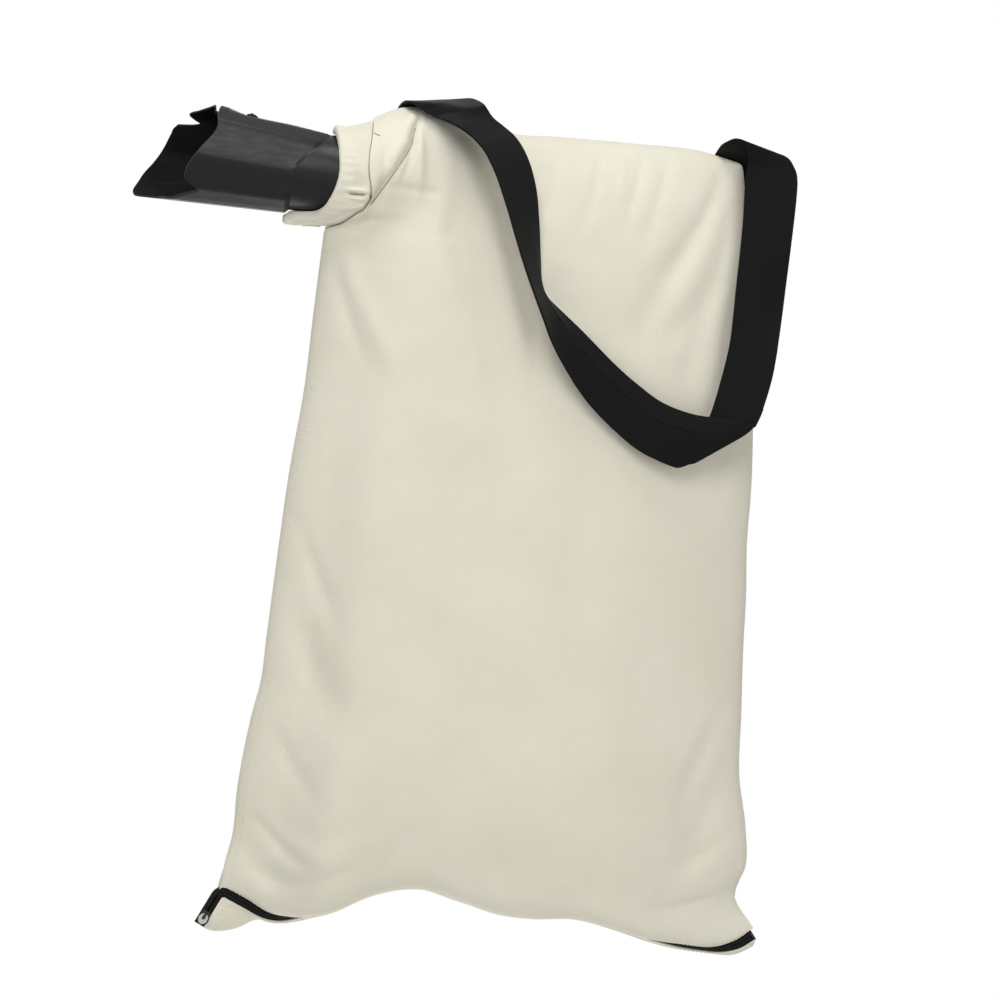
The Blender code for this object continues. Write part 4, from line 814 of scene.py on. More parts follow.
def fine_columns(side, path):
    """Shares across, and how far along the zip each column meets it."""
    even = np.linspace(0, 1, FINE_COLUMNS)
    beyond = 1 - NECK_ACROSS
    rest = NECK_ACROSS + beyond * np.sin(even * math.pi / 2) ** 1.1 * 0.35 + beyond * 0.65 * even
    shares = np.concatenate([np.linspace(0, NECK_ACROSS, NECK_COLUMNS, endpoint=False), rest])
    if side > 0:
        corner = np.linspace(0, FLAP_SHARE, 40)
        shares = np.concatenate([corner, shares[shares > FLAP_SHARE + 0.002]])
    coarse, spans = panel_columns(side, path)
    return shares, np.interp(shares, coarse, spans)


def fine_rows():
    neck = np.linspace(0, NECK_SHARE, NECK_LINES, endpoint=False)
    rest = np.sin(np.linspace(0, math.pi / 2, FINE_ROWS)) ** 1.1
    return np.concatenate([neck, NECK_SHARE + (1 - NECK_SHARE) * rest])


def creased_panel(a, d, side):
    """The panel's surface with its creases and its slow, uneven waves."""
    points = body(a, d, side)
    normal = grid_normals(points, side)
    keep = np.clip(np.minimum(14 * a, 14 * (1 - a)), 0, 1) * np.clip(np.minimum(40 * d, 25 * (1 - d)), 0, 1)
    creases = lines_depth(a, d, FRONT_CREASES if side < 0 else BACK_CREASES, 0.05, 0.7)
    wavy = SWELL * uneven(points, SWELL_SIZE, 1 + side) + RIPPLE * uneven(points, RIPPLE_SIZE, 5 + side)
    if side < 0:
        creases = creases + neck_folds(points)
    return points + normal * ((wavy - creases) * keep)[..., None]


def turned_edge(last, side, middle, towards, outward):
    """Rows that take the panel on from its last row to its edge on the zip's tape."""
    lift = ZIP_TAPE_THICKNESS / 2 + ZIP_SEAM_GAP + CANVAS
    edge = middle - side * ZIP_SHOWN_HALF * towards + lift * outward
    gap = last - edge
    out = (gap * outward).sum(axis=1, keepdims=True)
    level = edge + 0.6 * (gap - out * outward) + 0.6 * np.maximum(out, 0) * outward
    shares = np.linspace(0, 1, TURN_ROWS + 1)[1:]
    return [(1 - t) ** 2 * last + 2 * t * (1 - t) * level + t * t * edge for t in shares]


def fine_panel(name, side, path, look):
    """A panel's cloth, what its edge round the neck is like, and its points and normals."""
    across, span = fine_columns(side, path)
    rows = fine_rows()
    a, d = np.meshgrid(across, rows)
    begin = seam_start(rows) if side < 0 else np.zeros(len(rows))
    a = begin[:, None] + (1 - begin[:, None]) * a
    points = creased_panel(a, d, side)
    middle, towards, outward = zip_frame(path, span)
    outer = np.concatenate([points, turned_edge(points[-1], side, middle, towards, outward)])
    normal = grid_normals(outer, side)
    ring = normal[: len(rows), 0]
    in_neck = rows < NECK_SHARE
    on_ring = in_neck & (begin < 0.001)
    ring[on_ring] -= (ring[on_ring] @ NECK_AXIS)[:, None] * NECK_AXIS
    ring[~in_neck, 1] = 0
    normal[0, :, 1] = 0
    normal[: len(rows), -1, 1] = 0
    normal = unit(normal)
    normal[-1] = outward
    drop = np.concatenate([rows, 1 + np.linspace(0, 0.04, TURN_ROWS + 1)[1:]])
    u = FLAT_WIDTH * np.concatenate([a, np.repeat(a[-1:], TURN_ROWS, axis=0)])
    uv = np.stack([u, np.broadcast_to(drop[:, None] * BAG_HEIGHT, u.shape)], axis=-1)
    made = grid_mesh(name, outer, outer - CANVAS * normal, look, uv)
    edge = outer[: len(rows), 0][in_neck]
    onward = unit(outer[: len(rows), 1][in_neck] - edge)
    return made, (rows[in_neck], (edge, ring[in_neck], onward)), outer, normal


COIL_PITCH = 0.0015
COIL_TURN_HALF = 0.00042  # of one turn, along the zip
COIL_STOP_GAP = 0.0012  # between the stops and the coils' last turns
# One turn: share across the coil, and share of its full height
COIL_TURN = np.array([(0.0, 0.35), (0.12, 0.9), (0.55, 1.0), (0.9, 0.8), (1.0, 0.3)])


def coil_mesh(name, path, side, along, look):
    """The coil's turns on one tape: a rounded bar for each, standing across the tape."""
    middle, towards, outward = (part[:, None] for part in zip_frame(path, along))
    share, size = COIL_TURN.T
    base = middle + (ZIP_TAPE_THICKNESS / 2 + CLEARANCE + ZIP_COIL_HEIGHT / 2) * outward
    beside = side * (lane_half(along)[:, None] + share * ZIP_COIL_WIDTH)[..., None]
    ahead = COIL_TURN_HALF * size[:, None] * path.direction(along)[:, None]
    rings = circle(base + beside * towards, ahead, ZIP_COIL_HEIGHT / 2 * size[:, None] * outward, 6)
    return tubes_mesh(name, rings, look)


def woven_strip(name, path, along, edges, levels, width, look):
    """A flat tape beside the zip's middle line, its weave running along it."""
    outer, inner = strip(path, along, *edges, *levels)
    uv = np.stack(np.broadcast_arrays(np.array([[0, width]]), along[:, None]), axis=-1)
    return grid_mesh(name, outer, inner, look, uv)


def fine_zip(path, tape_look, coil_look):
    made = []
    half = ZIP_TAPE_THICKNESS / 2
    along = np.unique(np.concatenate([np.linspace(0, path.length, 260), path.bend]))
    stops = STOP_LENGTH + COIL_STOP_GAP
    turns = np.arange(stops, path.length - stops, COIL_PITCH)
    for side, end in ((1, "front"), (-1, "back")):
        edges = side * lane_half(along), side * ZIP_TAPE_HALF
        tape = woven_strip("tape_cloth_" + end, path, along, edges, (-half, half), ZIP_TAPE_HALF, tape_look)
        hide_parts("zip_tape_" + end)
        row = turns + (COIL_PITCH / 2 if side > 0 else 0)
        coil = coil_mesh("coil_turns_" + end, path, side, row, coil_look)
        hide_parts("zip_coil_" + end)
        made += [tape, coil]
    low = slider_levels()[0] - 2 * CLEARANCE
    edges, levels = (-ZIP_GUARD_HALF, ZIP_GUARD_HALF), (low - ZIP_GUARD_THICKNESS, low)
    guard = woven_strip("tape_guard", path, along, edges, levels, 2 * ZIP_GUARD_HALF, tape_look)
    return made + [guard]


STITCH_RADIUS = 0.00028
STITCH_PITCH = 0.0032
STITCH_SHARE = 0.68  # of the pitch that shows as thread
STITCH_RISE = np.array([(0, -0.2), (0.2, 0.7), (0.8, 0.7), (1, -0.2)])  # share along, height in radii


def stitch_mesh(name, stitches, look):
    """Short threads, each a flat-bottomed bar that rises in its middle."""
    start, end, out = (np.concatenate(part)[:, None] for part in zip(*stitches))
    share, rise = STITCH_RISE.T[..., None]
    across = unit(np.cross(unit(end - start), out))
    centre = start + (end - start) * share + out * STITCH_RADIUS * rise
    return tubes_mesh(name, circle(centre, STITCH_RADIUS * across, STITCH_RADIUS * out, 4), look, 80)


def along_line(line, outward):
    """Stitches along a line of points: their starts, their ends and the outward directions."""
    steps = lengths_along(line)
    starts = np.arange(0, steps[-1] - STITCH_PITCH, STITCH_PITCH)

    def at(values, lengths):
        return np.stack([np.interp(lengths, steps, values[:, k]) for k in range(3)], axis=1)

    return at(line, starts), at(line, starts + STITCH_PITCH * STITCH_SHARE), unit(at(outward, starts))


# The pleat from the bag's top edge down to the neck's seam, as places across and up
PLEAT_LINE = [(0.1866, 0.0120), (0.1838, -0.0012), (0.1725, -0.0202), (0.1532, -0.0465)]
PLEAT_DEPTH = 0.0022
PLEAT_REACH = 0.0018
PLEAT_PUFF = 0.0026  # how far the cloth stands out between the pleat and the seam
PUFF_AT = 0.0065
PUFF_REACH = 0.0050
VALLEY_LINE = [(0.2280, 0.0080), (0.2341, -0.0035), (0.2508, -0.0491), (0.2610, -0.0871), (0.2750, -0.1403),
               (0.2812, -0.2543)]
VALLEY_DEPTH = 0.0058
VALLEY_REACH = 0.0095
SAG_LINE = [(0.1700, -0.0325), (0.2014, -0.0372)]
SAG_DEPTH = 0.0016
SAG_REACH = 0.0035
# How far right of the neck's ring the front panel begins: turn in degrees, metres
SEAM_SHIFT = [
    (0, 0.0), (60, 0.0), (75, 0.0018), (90, 0.0062), (100, 0.0106), (110, 0.0148), (116, 0.0178),
    (121, 0.0188), (127, 0.0180), (135, 0.0160), (150, 0.0130), (160, 0.0105), (170, 0.0050), (180, 0.0),
]
CUFF_TUCK = 0.0045  # how far the cuff reaches under the panels sewn to it
TUCK_DROP = 0.0004
CUFF_GATHERS = 34
FOLD_GATHER = 0.00016
SLEEVE_GATHER = 0.00014
# The cuff's fold round its elastic: along the duct and out from it, in the hem's radii
CUFF_FOLD = [(1.1, 0.16), (0.2, 0.10), (-0.62, 0.14), (-0.98, 0.50), (-1.04, 1.20), (-0.80, 1.84),
             (-0.20, 2.06), (0.70, 2.00)]
# The small tuck low on the cuff's front, and the lips round it
PINCH_AT = (0.1429, -0.0388)
PINCH_REACH = 0.0076
PINCH_DEPTH = 0.0034
PINCH_HALF = 0.0011
PINCH_LIP_HEIGHT = 0.0016
PINCH_LIP_AT = 0.0030
PINCH_LIP_HALF = 0.0014
# A dark cord laid in the tuck's slit is painted shade of the slit, not thread; the tack at the pleat's top
# is real stitching in the same dark colour
SLIT_SHADE_LINE = [(0.1368, -0.0381), (0.1396, -0.0389), (0.1430, -0.0390), (0.1488, -0.0396)]
TACK_LINE = [(0.1556, 0.0079), (0.1602, 0.0056)]
THREAD_RADIUS = 0.00042
THREAD_LIFT = 0.0001


def from_line(points, line):
    """Distance from a line seen from the front, and which side: above 0 on its left going down."""
    place = points[..., [0, 2]]
    least = np.full(place.shape[:-1], 9.0)
    hand = np.zeros(place.shape[:-1])
    for start, end in zip(np.array(line[:-1]), np.array(line[1:])):
        run = end - start
        apart = place - start
        share = np.clip((apart @ run) / (run @ run), 0, 1)
        away = apart - share[..., None] * run
        near = np.linalg.norm(away, axis=-1)
        turned = run[0] * apart[..., 1] - run[1] * apart[..., 0]
        hand = np.where(near < least, np.sign(-turned), hand)
        least = np.minimum(near, least)
    return least, hand


def neck_folds(points):
    """How far the folds beside the neck and the strap push the front cloth inwards."""
    near, hand = from_line(points, PLEAT_LINE)
    depth = PLEAT_DEPTH * np.exp(-((near / PLEAT_REACH) ** 2))
    depth -= np.where(hand > 0, 1, 0.15) * PLEAT_PUFF * np.exp(-(((near - PUFF_AT) / PUFF_REACH) ** 2))
    near, hand = from_line(points, VALLEY_LINE)
    depth += VALLEY_DEPTH * np.exp(-((near / VALLEY_REACH) ** 2)) * smooth_step(points[..., 2], -0.26, -0.12)
    near, hand = from_line(points, SAG_LINE)
    return depth + SAG_DEPTH * np.exp(-((near / SAG_REACH) ** 2))


def seam_start(rows):
    """Share across at which each of the front panel's rows begins."""
    turn = 180 * np.clip(rows / NECK_SHARE, 0, 1)
    shift = wave(SEAM_SHIFT)(turn)
    across = np.linspace(0, 0.16, 60)
    starts = []
    for row, wanted in zip(rows, shift):
        places = body(across, np.full(60, row), -1)[:, 0]
        starts.append(np.interp(places[0] + max(wanted, 0), places, across) if row < NECK_SHARE else 0.0)
    return np.array(starts)


def closed_normals(points, hint):
    rows = np.gradient(points, axis=0)
    columns = np.roll(points, -1, axis=1) - np.roll(points, 1, axis=1)
    normal = unit(np.cross(rows, columns))
    return normal if (normal[-8] * hint).sum() > 0 else -normal


def neck_edges(front, back):
    """The edge that both panels turn to the cuff: point, normal and way on, for turns right round."""
    turns, values = [], []
    for rows, (points, normal, onward), hand in ((front[0], front[1], 1), (back[0], back[1], -1)):
        turns.append(hand * math.pi * rows / NECK_SHARE)
        values.append(np.concatenate([points, normal, onward], axis=1))
    turns = np.concatenate(turns) % (2 * math.pi)
    order = np.argsort(turns)
    return turns[order], np.concatenate(values)[order]


def gathers(turn):
    return np.cos(CUFF_GATHERS * turn + 1.3 * np.sin(5 * turn))


def cuff_fold(turn, outward, along, low):
    """Rows of the cuff round its elastic, with fine gathers."""
    steps = np.linspace(0, len(CUFF_FOLD) - 1, 30)
    forward, out = (wave([(k, p[part]) for k, p in enumerate(CUFF_FOLD)])(steps) for part in (0, 1))
    rows = []
    for f, u in zip(forward, out):
        gather = FOLD_GATHER * gathers(turn) * smooth_step(u, 0.4, 1.6)
        place = along + f * HEM_RADIUS + 0.6 * gather
        rows.append(place[:, None] * DUCT_AXIS + (low + u * HEM_RADIUS + gather)[:, None] * outward)
    return rows


def sleeve_rows(turn, outward, start, under, onward):
    """Rows of the cuff from its fold to the panels' edge, with its pleats."""
    reach = np.linalg.norm(under - start, axis=1)[:, None]
    pleat = SLEEVE_PLEAT_DEPTH * np.cos(SLEEVE_PLEATS * turn + 0.8 * np.sin(2 * turn))
    rows = []
    for t in np.linspace(0, 1, 34)[1:]:
        row = hermite(start, under, DUCT_AXIS * reach, onward * reach, t)
        gather = SLEEVE_GATHER * gathers(turn) * (1 - t) ** 2
        rows.append(row + ((pleat * math.sin(math.pi * t) ** 2 + gather) * (1 - t * t))[:, None] * outward)
    return rows


def fine_cuff(look, front, back):
    """One folded cuff: under the elastic, round its front, over it and on under the panels."""
    turn, outward, along, radius = hem_ring(300)
    turns, values = neck_edges(front, back)
    at_seam = np.stack([np.interp(turn, turns, values[:, k], period=2 * math.pi) for k in range(9)], axis=1)
    edge, normal, onward = at_seam[:, :3], unit(at_seam[:, 3:6]), unit(at_seam[:, 6:])
    under = edge - (CANVAS + 2 * CLEARANCE) * normal
    rows = cuff_fold(turn, outward, along, radius - HEM_RADIUS)
    rows += sleeve_rows(turn, outward, rows[-1], under, onward)
    rows += [under + t * CUFF_TUCK * onward - TUCK_DROP * t * normal for t in (0.25, 0.5, 0.75, 1.0)]
    points = np.array(rows)
    points = points - closed_normals(points, outward) * (pinch(points) * (points[..., 1] < 0))[..., None]
    inner = points - CANVAS * closed_normals(points, outward)
    u, v = np.meshgrid(turn * NECK_RADIUS, row_lengths(points))
    return grid_mesh("sleeve_cloth", points, inner, look, np.stack([u, v], axis=-1), closed=True)


def pinch(points):
    """Depth of the small puckered tuck low on the cuff's front, with lips round it."""
    over = (points[..., 0] - PINCH_AT[0]) / PINCH_REACH
    up = points[..., 2] - PINCH_AT[1] + 0.10 * (points[..., 0] - PINCH_AT[0])
    slit = PINCH_DEPTH * np.exp(-((up / PINCH_HALF) ** 2))
    lips = PINCH_LIP_HEIGHT * np.exp(-(((np.abs(up) - PINCH_LIP_AT) / PINCH_LIP_HALF) ** 2))
    return np.exp(-(over**2)) * (slit - lips)


def thread_mesh(name, lines, look):
    """Thin cords of thread along lines of points, all in one piece; in a dark colour they also paint crease
    shade.
    """
    tubes = []
    for line in lines:
        ahead = unit(np.gradient(line, axis=0))
        across = unit(np.cross(ahead, DEPTH))
        tubes.append(circle(line, THREAD_RADIUS * across, THREAD_RADIUS * np.cross(across, ahead), 6))
    made = tubes_mesh(name, tubes, look, 80)
    made.data.flip_normals()
    return made


def tree_of(made):
    return BVHTree.FromPolygons([v.co for v in made.data.vertices], [p.vertices for p in made.data.polygons])


def on_front(tree, line, lift):
    """Points on the front cloth at the places of a line seen from the front."""
    line = np.array(line)
    span = lengths_along(line)
    steps = np.linspace(0, span[-1], 40)
    spots = np.stack([wave(list(zip(span, line[:, k])))(steps) for k in range(2)], axis=1)
    made = []
    for x, z in spots.tolist():
        hit = tree.ray_cast(Vector((x, -0.5, z)), Vector((0, 1, 0)))
        if hit[0]:
            made.append(np.array(hit[0]) + lift * np.array(hit[1]))
    return np.array(made)


SEAM_END = 0.955  # share down the panels where the seams' beads end
SEAM_WEAVE = (0.0008, 0.0025)  # flat size of one facet of the bead, round it and along it


def seam_mesh(name, middle, inward, look):
    """A rounded bead of turned-in cloth along the edge where the two panels meet."""
    centre = middle + (SEAM_DEPTH - SEAM_PROUD) / 2 * inward
    rings = circle(centre, -(SEAM_DEPTH + SEAM_PROUD) / 2 * inward, SEAM_HALF * DEPTH, 10)
    made = tubes_mesh(name, [rings], look)
    u, v = np.meshgrid(np.arange(10) * SEAM_WEAVE[0], np.arange(len(rings)) * SEAM_WEAVE[1])
    set_uv(made.data, np.stack([u, v], axis=-1).reshape(-1, 2))
    return made


def fine_seams(look):
    made = []
    left, right = np.linspace(NECK_SHARE + 0.004, SEAM_END, 240), np.linspace(0.006, SEAM_END, 260)
    for name, share, across, inward in (("left", left, 0.0, ACROSS), ("right", right, 1.0, -ACROSS)):
        across = np.full(len(share), across)
        line = (body(across, share, -1) + body(across, share, 1)) / 2
        made.append((seam_mesh(name + "_bead", line, inward, look), name + "_side_seam"))
    line = top_edge(np.linspace(0.004, 0.992, 220))
    return made + [(seam_mesh("top_bead", line, -UP, look), "top_seam")]


GUSSET_TOP = -0.5230  # where the gusset starts, and its lower end beside the zip's tail
GUSSET_END = -0.5900
GUSSET_WIDTH = 0.009
GUSSET_PROUD = 0.0001
GUSSET_FADE = 0.003  # length over which its front edge leaves the front panel, below that panel's end


def fine_gusset(front_side, back_side, look):
    """The cloth that closes the bag's left side, above the zip's tail, between the two panels' edges."""
    level = np.linspace(GUSSET_TOP, GUSSET_END, 40)
    ends = []
    for side in (front_side, back_side):
        order = np.argsort(side[:, 2])
        sides = [np.interp(level, side[order, 2], side[order, k]) for k in (0, 1)]
        ends.append(np.stack(sides + [level], axis=1))
    low = front_side[:, 2].min()
    below = smooth_step(-level, -low, GUSSET_FADE - low)
    ends[0][:, 0] = ends[0][:, 0] * (1 - below) + ends[1][:, 0] * below
    ends[0][:, 1] = ends[0][:, 1] * (1 - below) + (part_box("zip_slider")[1][1] + CANVAS) * below
    share = np.linspace(0, 1, 9)[:, None]
    points = ends[0][:, None] * (1 - share) + ends[1][:, None] * share
    u, v = np.meshgrid(np.linspace(0, GUSSET_WIDTH, 9), -level)
    outer, inner = points - GUSSET_PROUD * ACROSS, points + CANVAS * ACROSS
    return grid_mesh("left_gusset", outer, inner, look, np.stack([u, v], axis=-1))


# Duct

DUCT_LIP = 0.0008  # rounding of the moulded edge
CATCH_EDGE = 0.0012
CATCH_RAMP = 0.004
FAR_LIP_END = 0.0290  # where the raised lip ends on the far side
NEAR_TAB_END = 0.0500  # and where the near tab has sloped down
# The mouth's edge, drawn finer: degrees round from the top towards the front, and metres along
FINE_MOUTH = [
    (0, 0.0400), (9, 0.0350), (16, 0.0335), (37, 0.0322), (59, 0.0337), (84, 0.0256), (105, 0.0188),
    (118, 0.0165), (128, 0.0178), (133, 0.0240), (138, 0.0280), (150, 0.0165), (164, 0.0050),
    (180, -0.0020), (190, -0.0110), (198, -0.0190), (206, -0.0222), (218, -0.0212), (232, -0.0184),
    (247, -0.0123), (266, -0.0066), (286, -0.0026), (295, -0.0006), (300, 0.0040), (303, 0.0165),
    (306.5, 0.0175), (309, 0.0130), (312, 0.0096), (324, 0.0160), (338, 0.0250), (345, 0.0272),
    (352, 0.0290), (360, 0.0400),
]
fine_mouth = wave(FINE_MOUTH)


def fine_loop(section, along, shrink):
    """The duct's surface; a slit parts its raised lip on the far side from the sloping near tab."""
    far_end = smooth_step(along, FAR_LIP_END - 0.001, FAR_LIP_END)
    near_end = smooth_step(along, LIP_END - LIP_RAMP, NEAR_TAB_END)
    return duct_loop(section, along, shrink, 1 - np.where(section[:, 0] > -0.2, far_end, near_end))


def fine_duct(outside, inside):
    coarse = duct_section()
    fine = np.concatenate([coarse, coarse[:1]])
    steps = np.arange(len(fine) - 1)
    fine = np.concatenate([fine[steps] * (1 - t) + fine[steps + 1] * t for t in (0, 0.34, 0.67)])
    section = fine[np.argsort(section_degrees(fine))]
    mouth, start = fine_mouth(section_degrees(section)), shoulder_start(section)
    lip = np.maximum(mouth + 2 * CLEARANCE, LIP_END)
    bead = DUCT_LENGTH - BEAD_LENGTH
    stations = [(mouth + DUCT_LIP * (1 - math.cos(a)), DUCT_LIP * (1 - math.sin(a)))
                for a in np.linspace(0, math.pi / 2, 5)]
    stations += [(mouth + DUCT_LIP + (lip - mouth - DUCT_LIP) * t, 0) for t in np.linspace(0, 1, 13)[1:]]
    stations += [(lip + (start - lip) * t, 0) for t in (0.2, 0.4, 0.6, 0.8, 1.0)]
    stations += [(start + SHOULDER_LENGTH * t, 0) for t in (0.15, 0.3, 0.45, 0.6, 0.75, 0.9, 1.0)]
    stations += [(np.full_like(mouth, bead - BEAD_HEIGHT), 0)]
    for a in np.linspace(0, math.pi, 7)[1:]:
        place = np.full_like(mouth, bead + BEAD_LENGTH / 2 * (1 - math.cos(a)))
        stations.append((place, -BEAD_HEIGHT * math.sin(a)))
    outer = np.array([fine_loop(section, s, g) for s, g in stations])
    inner = np.array([fine_loop(section, s, DUCT_WALL - max(g, 0)) for s, g in stations])
    uv = np.zeros(outer.shape[:2] + (2,))
    duct = grid_mesh("duct_moulding", outer, inner, outside, uv, closed=True)
    # The inner wall takes the darker copy of the plastic: painted shade
    duct.data.materials.append(inside)
    count = outer.shape[0] * outer.shape[1]
    for face in duct.data.polygons:
        face.material_index = 1 if min(face.vertices) >= count else 0
    duct.data.set_sharp_from_angle(angle=math.radians(24))
    return duct


def fine_catch(look):
    top = min(DUCT_HALF_HEIGHT - DUCT_TAPER * CATCH_START, DUCT_TOP)
    low, high, end = top - DUCT_WALL / 2, top + 0.85 * CATCH_HEIGHT, CATCH_START + CATCH_LENGTH
    outline = [(CATCH_START - CATCH_RAMP, low), (CATCH_START, high),
               (CATCH_START + CATCH_LENGTH * 0.4, high), (end, low)]
    made = bmesh.new()
    rings = []
    for depth in (-CATCH_WIDTH / 2, CATCH_WIDTH / 2):
        rings.append([made.verts.new(duct_place(a, u, depth)) for a, u in outline])
    made.faces.new(rings[0])
    made.faces.new(rings[1][::-1])
    for k in range(4):
        made.faces.new([rings[0][k], rings[1][k], rings[1][(k + 1) % 4], rings[0][(k + 1) % 4]])
    bmesh.ops.recalc_face_normals(made, faces=made.faces)
    bmesh.ops.bevel(made, geom=made.edges[:], offset=CATCH_EDGE, segments=3, affect="EDGES")
    mesh = bpy.data.meshes.new("duct_catch")
    made.to_mesh(mesh)
    made.free()
    return finish_mesh("duct_catch", mesh, look, 35)


CREASE_AT = 0.30  # share across the strap of its lengthwise crease
CREASE_DEPTH = 0.0065
CREASE_GROOVE = 0.0011
CREASE_HALF = 0.045
CORNER_ROUND = 0.0035  # radius of the strap's lower corner at the slanted fold
FINE_STEPS = 6  # rows of the fine strap between two of the model's
FINE_STRAP_COLUMNS = 61


def refined(points, steps):
    """More rows of points on smooth curves through the given ones."""
    along = row_lengths(points)
    slopes = np.gradient(points, along, axis=0)
    rows = []
    for k, span in enumerate(np.diff(along)):
        leaving, arriving = slopes[k] * span, slopes[k + 1] * span
        rows += [hermite(points[k], points[k + 1], leaving, arriving, t) for t in np.arange(steps) / steps]
    return np.array(rows + [points[-1]])


def round_corner(points, shares, first, last):
    """Draws the strap's lower edge in at the slanted fold, so that its corner there is round."""
    edge = points[:, -1]
    along = lengths_along(edge)
    rows = np.arange(len(points))
    away = np.where(rows < first, along[first] - along, np.maximum(along - along[last], 0))
    short = np.clip(1 - away / CORNER_ROUND, 0, 1)
    drawn = CORNER_ROUND * (1 - np.sqrt(1 - short**2)) / (STRAP_WIDTH / 2)
    inward = points[:, len(shares) // 2] - edge
    made = points + (drawn[:, None] * np.clip(-shares, 0, 1) ** 4)[..., None] * inward[:, None]
    turn = np.linspace(0, 1, last - first + 1)[:, None, None]
    flat = made[first] + turn * (made[last] - made[first])
    made[first : last + 1] = flat + (made[first : last + 1] - flat) * (1 - shares**8)[:, None]
    return made


def fine_strap(look):
    coarse = strap_surface()
    last = len(coarse) - RIGHT_ROWS
    turn_row = last - len(BEND_DEGREES)
    first = turn_row - 1
    runs = coarse[: first + 1], coarse[first : last + 1], coarse[last:]
    points = np.concatenate([refined(run, FINE_STEPS)[:-1] for run in runs] + [coarse[-1:]])
    shares = np.linspace(1, -1, FINE_STRAP_COLUMNS)
    wide = np.array([[np.interp(-shares, -STRAP_SHARES, row[:, k]) for k in range(3)] for row in points])
    points = round_corner(wide.transpose(0, 2, 1), shares, FINE_STEPS * first, FINE_STEPS * last)
    normal = plain_normals(points)
    place = np.arange(len(points)) / FINE_STEPS - turn_row
    creased = smooth_step(place, -15, -10) * (1 - smooth_step(place, -4, -1))
    bend = CREASE_DEPTH * np.maximum(shares - CREASE_AT, 0) / (1 - CREASE_AT)
    bend = bend + CREASE_GROOVE * np.exp(-(((shares - CREASE_AT) / CREASE_HALF) ** 2))
    front = np.sign(-normal[..., 1:2])
    points = points - front * normal * (creased[:, None] * bend)[..., None]
    half = STRAP_THICKNESS / 2 * normal
    u, v = np.meshgrid((1 - shares) / 2 * STRAP_WIDTH, row_lengths(points))
    return grid_mesh("strap_band", points + half, points - half, look, np.stack([u, v], axis=-1))


# Materials

BANDS_SCALE = 0.31416  # gives the bands a pitch in metres
CANVAS_PITCH = 0.0011


def new_material(name, coordinates):
    """A material, its node tree and shader, and the wanted kinds of texture coordinates."""
    made = bpy.data.materials.new(name)
    made.use_nodes = True
    tree = made.node_tree
    found = [add(tree, "ShaderNodeTexCoord").outputs[kind] for kind in coordinates]
    return (made, tree, tree.nodes["Principled BSDF"], *found)


def add(tree, kind, inputs=None, **settings):
    node = tree.nodes.new(kind)
    for key, value in settings.items():
        setattr(node, key, value)
    set_inputs(tree, node, inputs or {})
    return node


def set_inputs(tree, node, inputs):
    for key, value in inputs.items():
        if hasattr(value, "is_output"):
            tree.links.new(value, node.inputs[key])
        else:
            node.inputs[key].default_value = value


def math_node(tree, operation, a, b=0.0):
    return add(tree, "ShaderNodeMath", {0: a, 1: b}, operation=operation).outputs[0]


def weighted(tree, a, share_a, b, share_b):
    parts = [math_node(tree, "MULTIPLY", part, share) for part, share in ((a, share_a), (b, share_b))]
    return math_node(tree, "ADD", *parts)


def mix_colour(tree, share, low, high):
    ends = [value if hasattr(value, "is_output") else (*value, 1) for value in (low, high)]
    return add(tree, "ShaderNodeMix", {"Factor": share, 6: ends[0], 7: ends[1]}, data_type="RGBA").outputs[2]


def map_range(tree, value, before, after):
    inputs = dict(zip(("Value", "From Min", "From Max", "To Min", "To Max"), (value, *before, *after)))
    return add(tree, "ShaderNodeMapRange", inputs).outputs[0]


def bump(tree, height, strength, distance):
    inputs = {"Strength": strength, "Distance": distance, "Height": height}
    return add(tree, "ShaderNodeBump", inputs).outputs[0]


def stretched_noise(tree, where, scale, detail=2.0):
    mapping = add(tree, "ShaderNodeMapping", {"Vector": where, "Scale": scale}).outputs[0]
    return add(tree, "ShaderNodeTexNoise", {"Vector": mapping, "Scale": 1.0, "Detail": detail}).outputs[0]


def bands(tree, where, direction, pitch):
    return add(tree, "ShaderNodeTexWave", {"Vector": where, "Scale": BANDS_SCALE / pitch, "Distortion": 0.0},
               wave_type="BANDS", bands_direction=direction).outputs[1]


def canvas_look(name, colour, pale, dark):
    """Plain woven cotton: threads both ways, slubs, and slow mottling."""
    made, tree, shader, where, place = new_material(name, ("UV", "Object"))
    warp, weft = (bands(tree, where, way, CANVAS_PITCH) for way in "XY")
    weave = math_node(tree, "MULTIPLY", warp, weft)
    slubs = [stretched_noise(tree, where, scale) for scale in ((1400, 90, 1), (90, 1400, 1))]
    slub = math_node(tree, "ADD", *slubs)
    mottle = stretched_noise(tree, place, (16, 16, 16), 4.0)
    tone = mix_colour(tree, mottle, dark, pale)
    threads = weighted(tree, weave, 0.35, slub, 0.5)
    tone = mix_colour(tree, math_node(tree, "MULTIPLY", threads, 0.35), tone, colour)
    speck = map_range(tree, stretched_noise(tree, where, (500, 500, 1), 3.0), (0.70, 0.80), (0.0, 0.25))
    tone = mix_colour(tree, speck, tone, tuple(c * 0.62 for c in colour))
    relief = bump(tree, weighted(tree, weave, 0.5, slub, 0.6), 0.55, 0.0004)
    set_inputs(tree, shader, {"Base Color": tone, "Normal": relief, "Roughness": 0.92, "Sheen Weight": 0.12,
                              "Sheen Roughness": 0.5, "Specular IOR Level": 0.25})
    return made


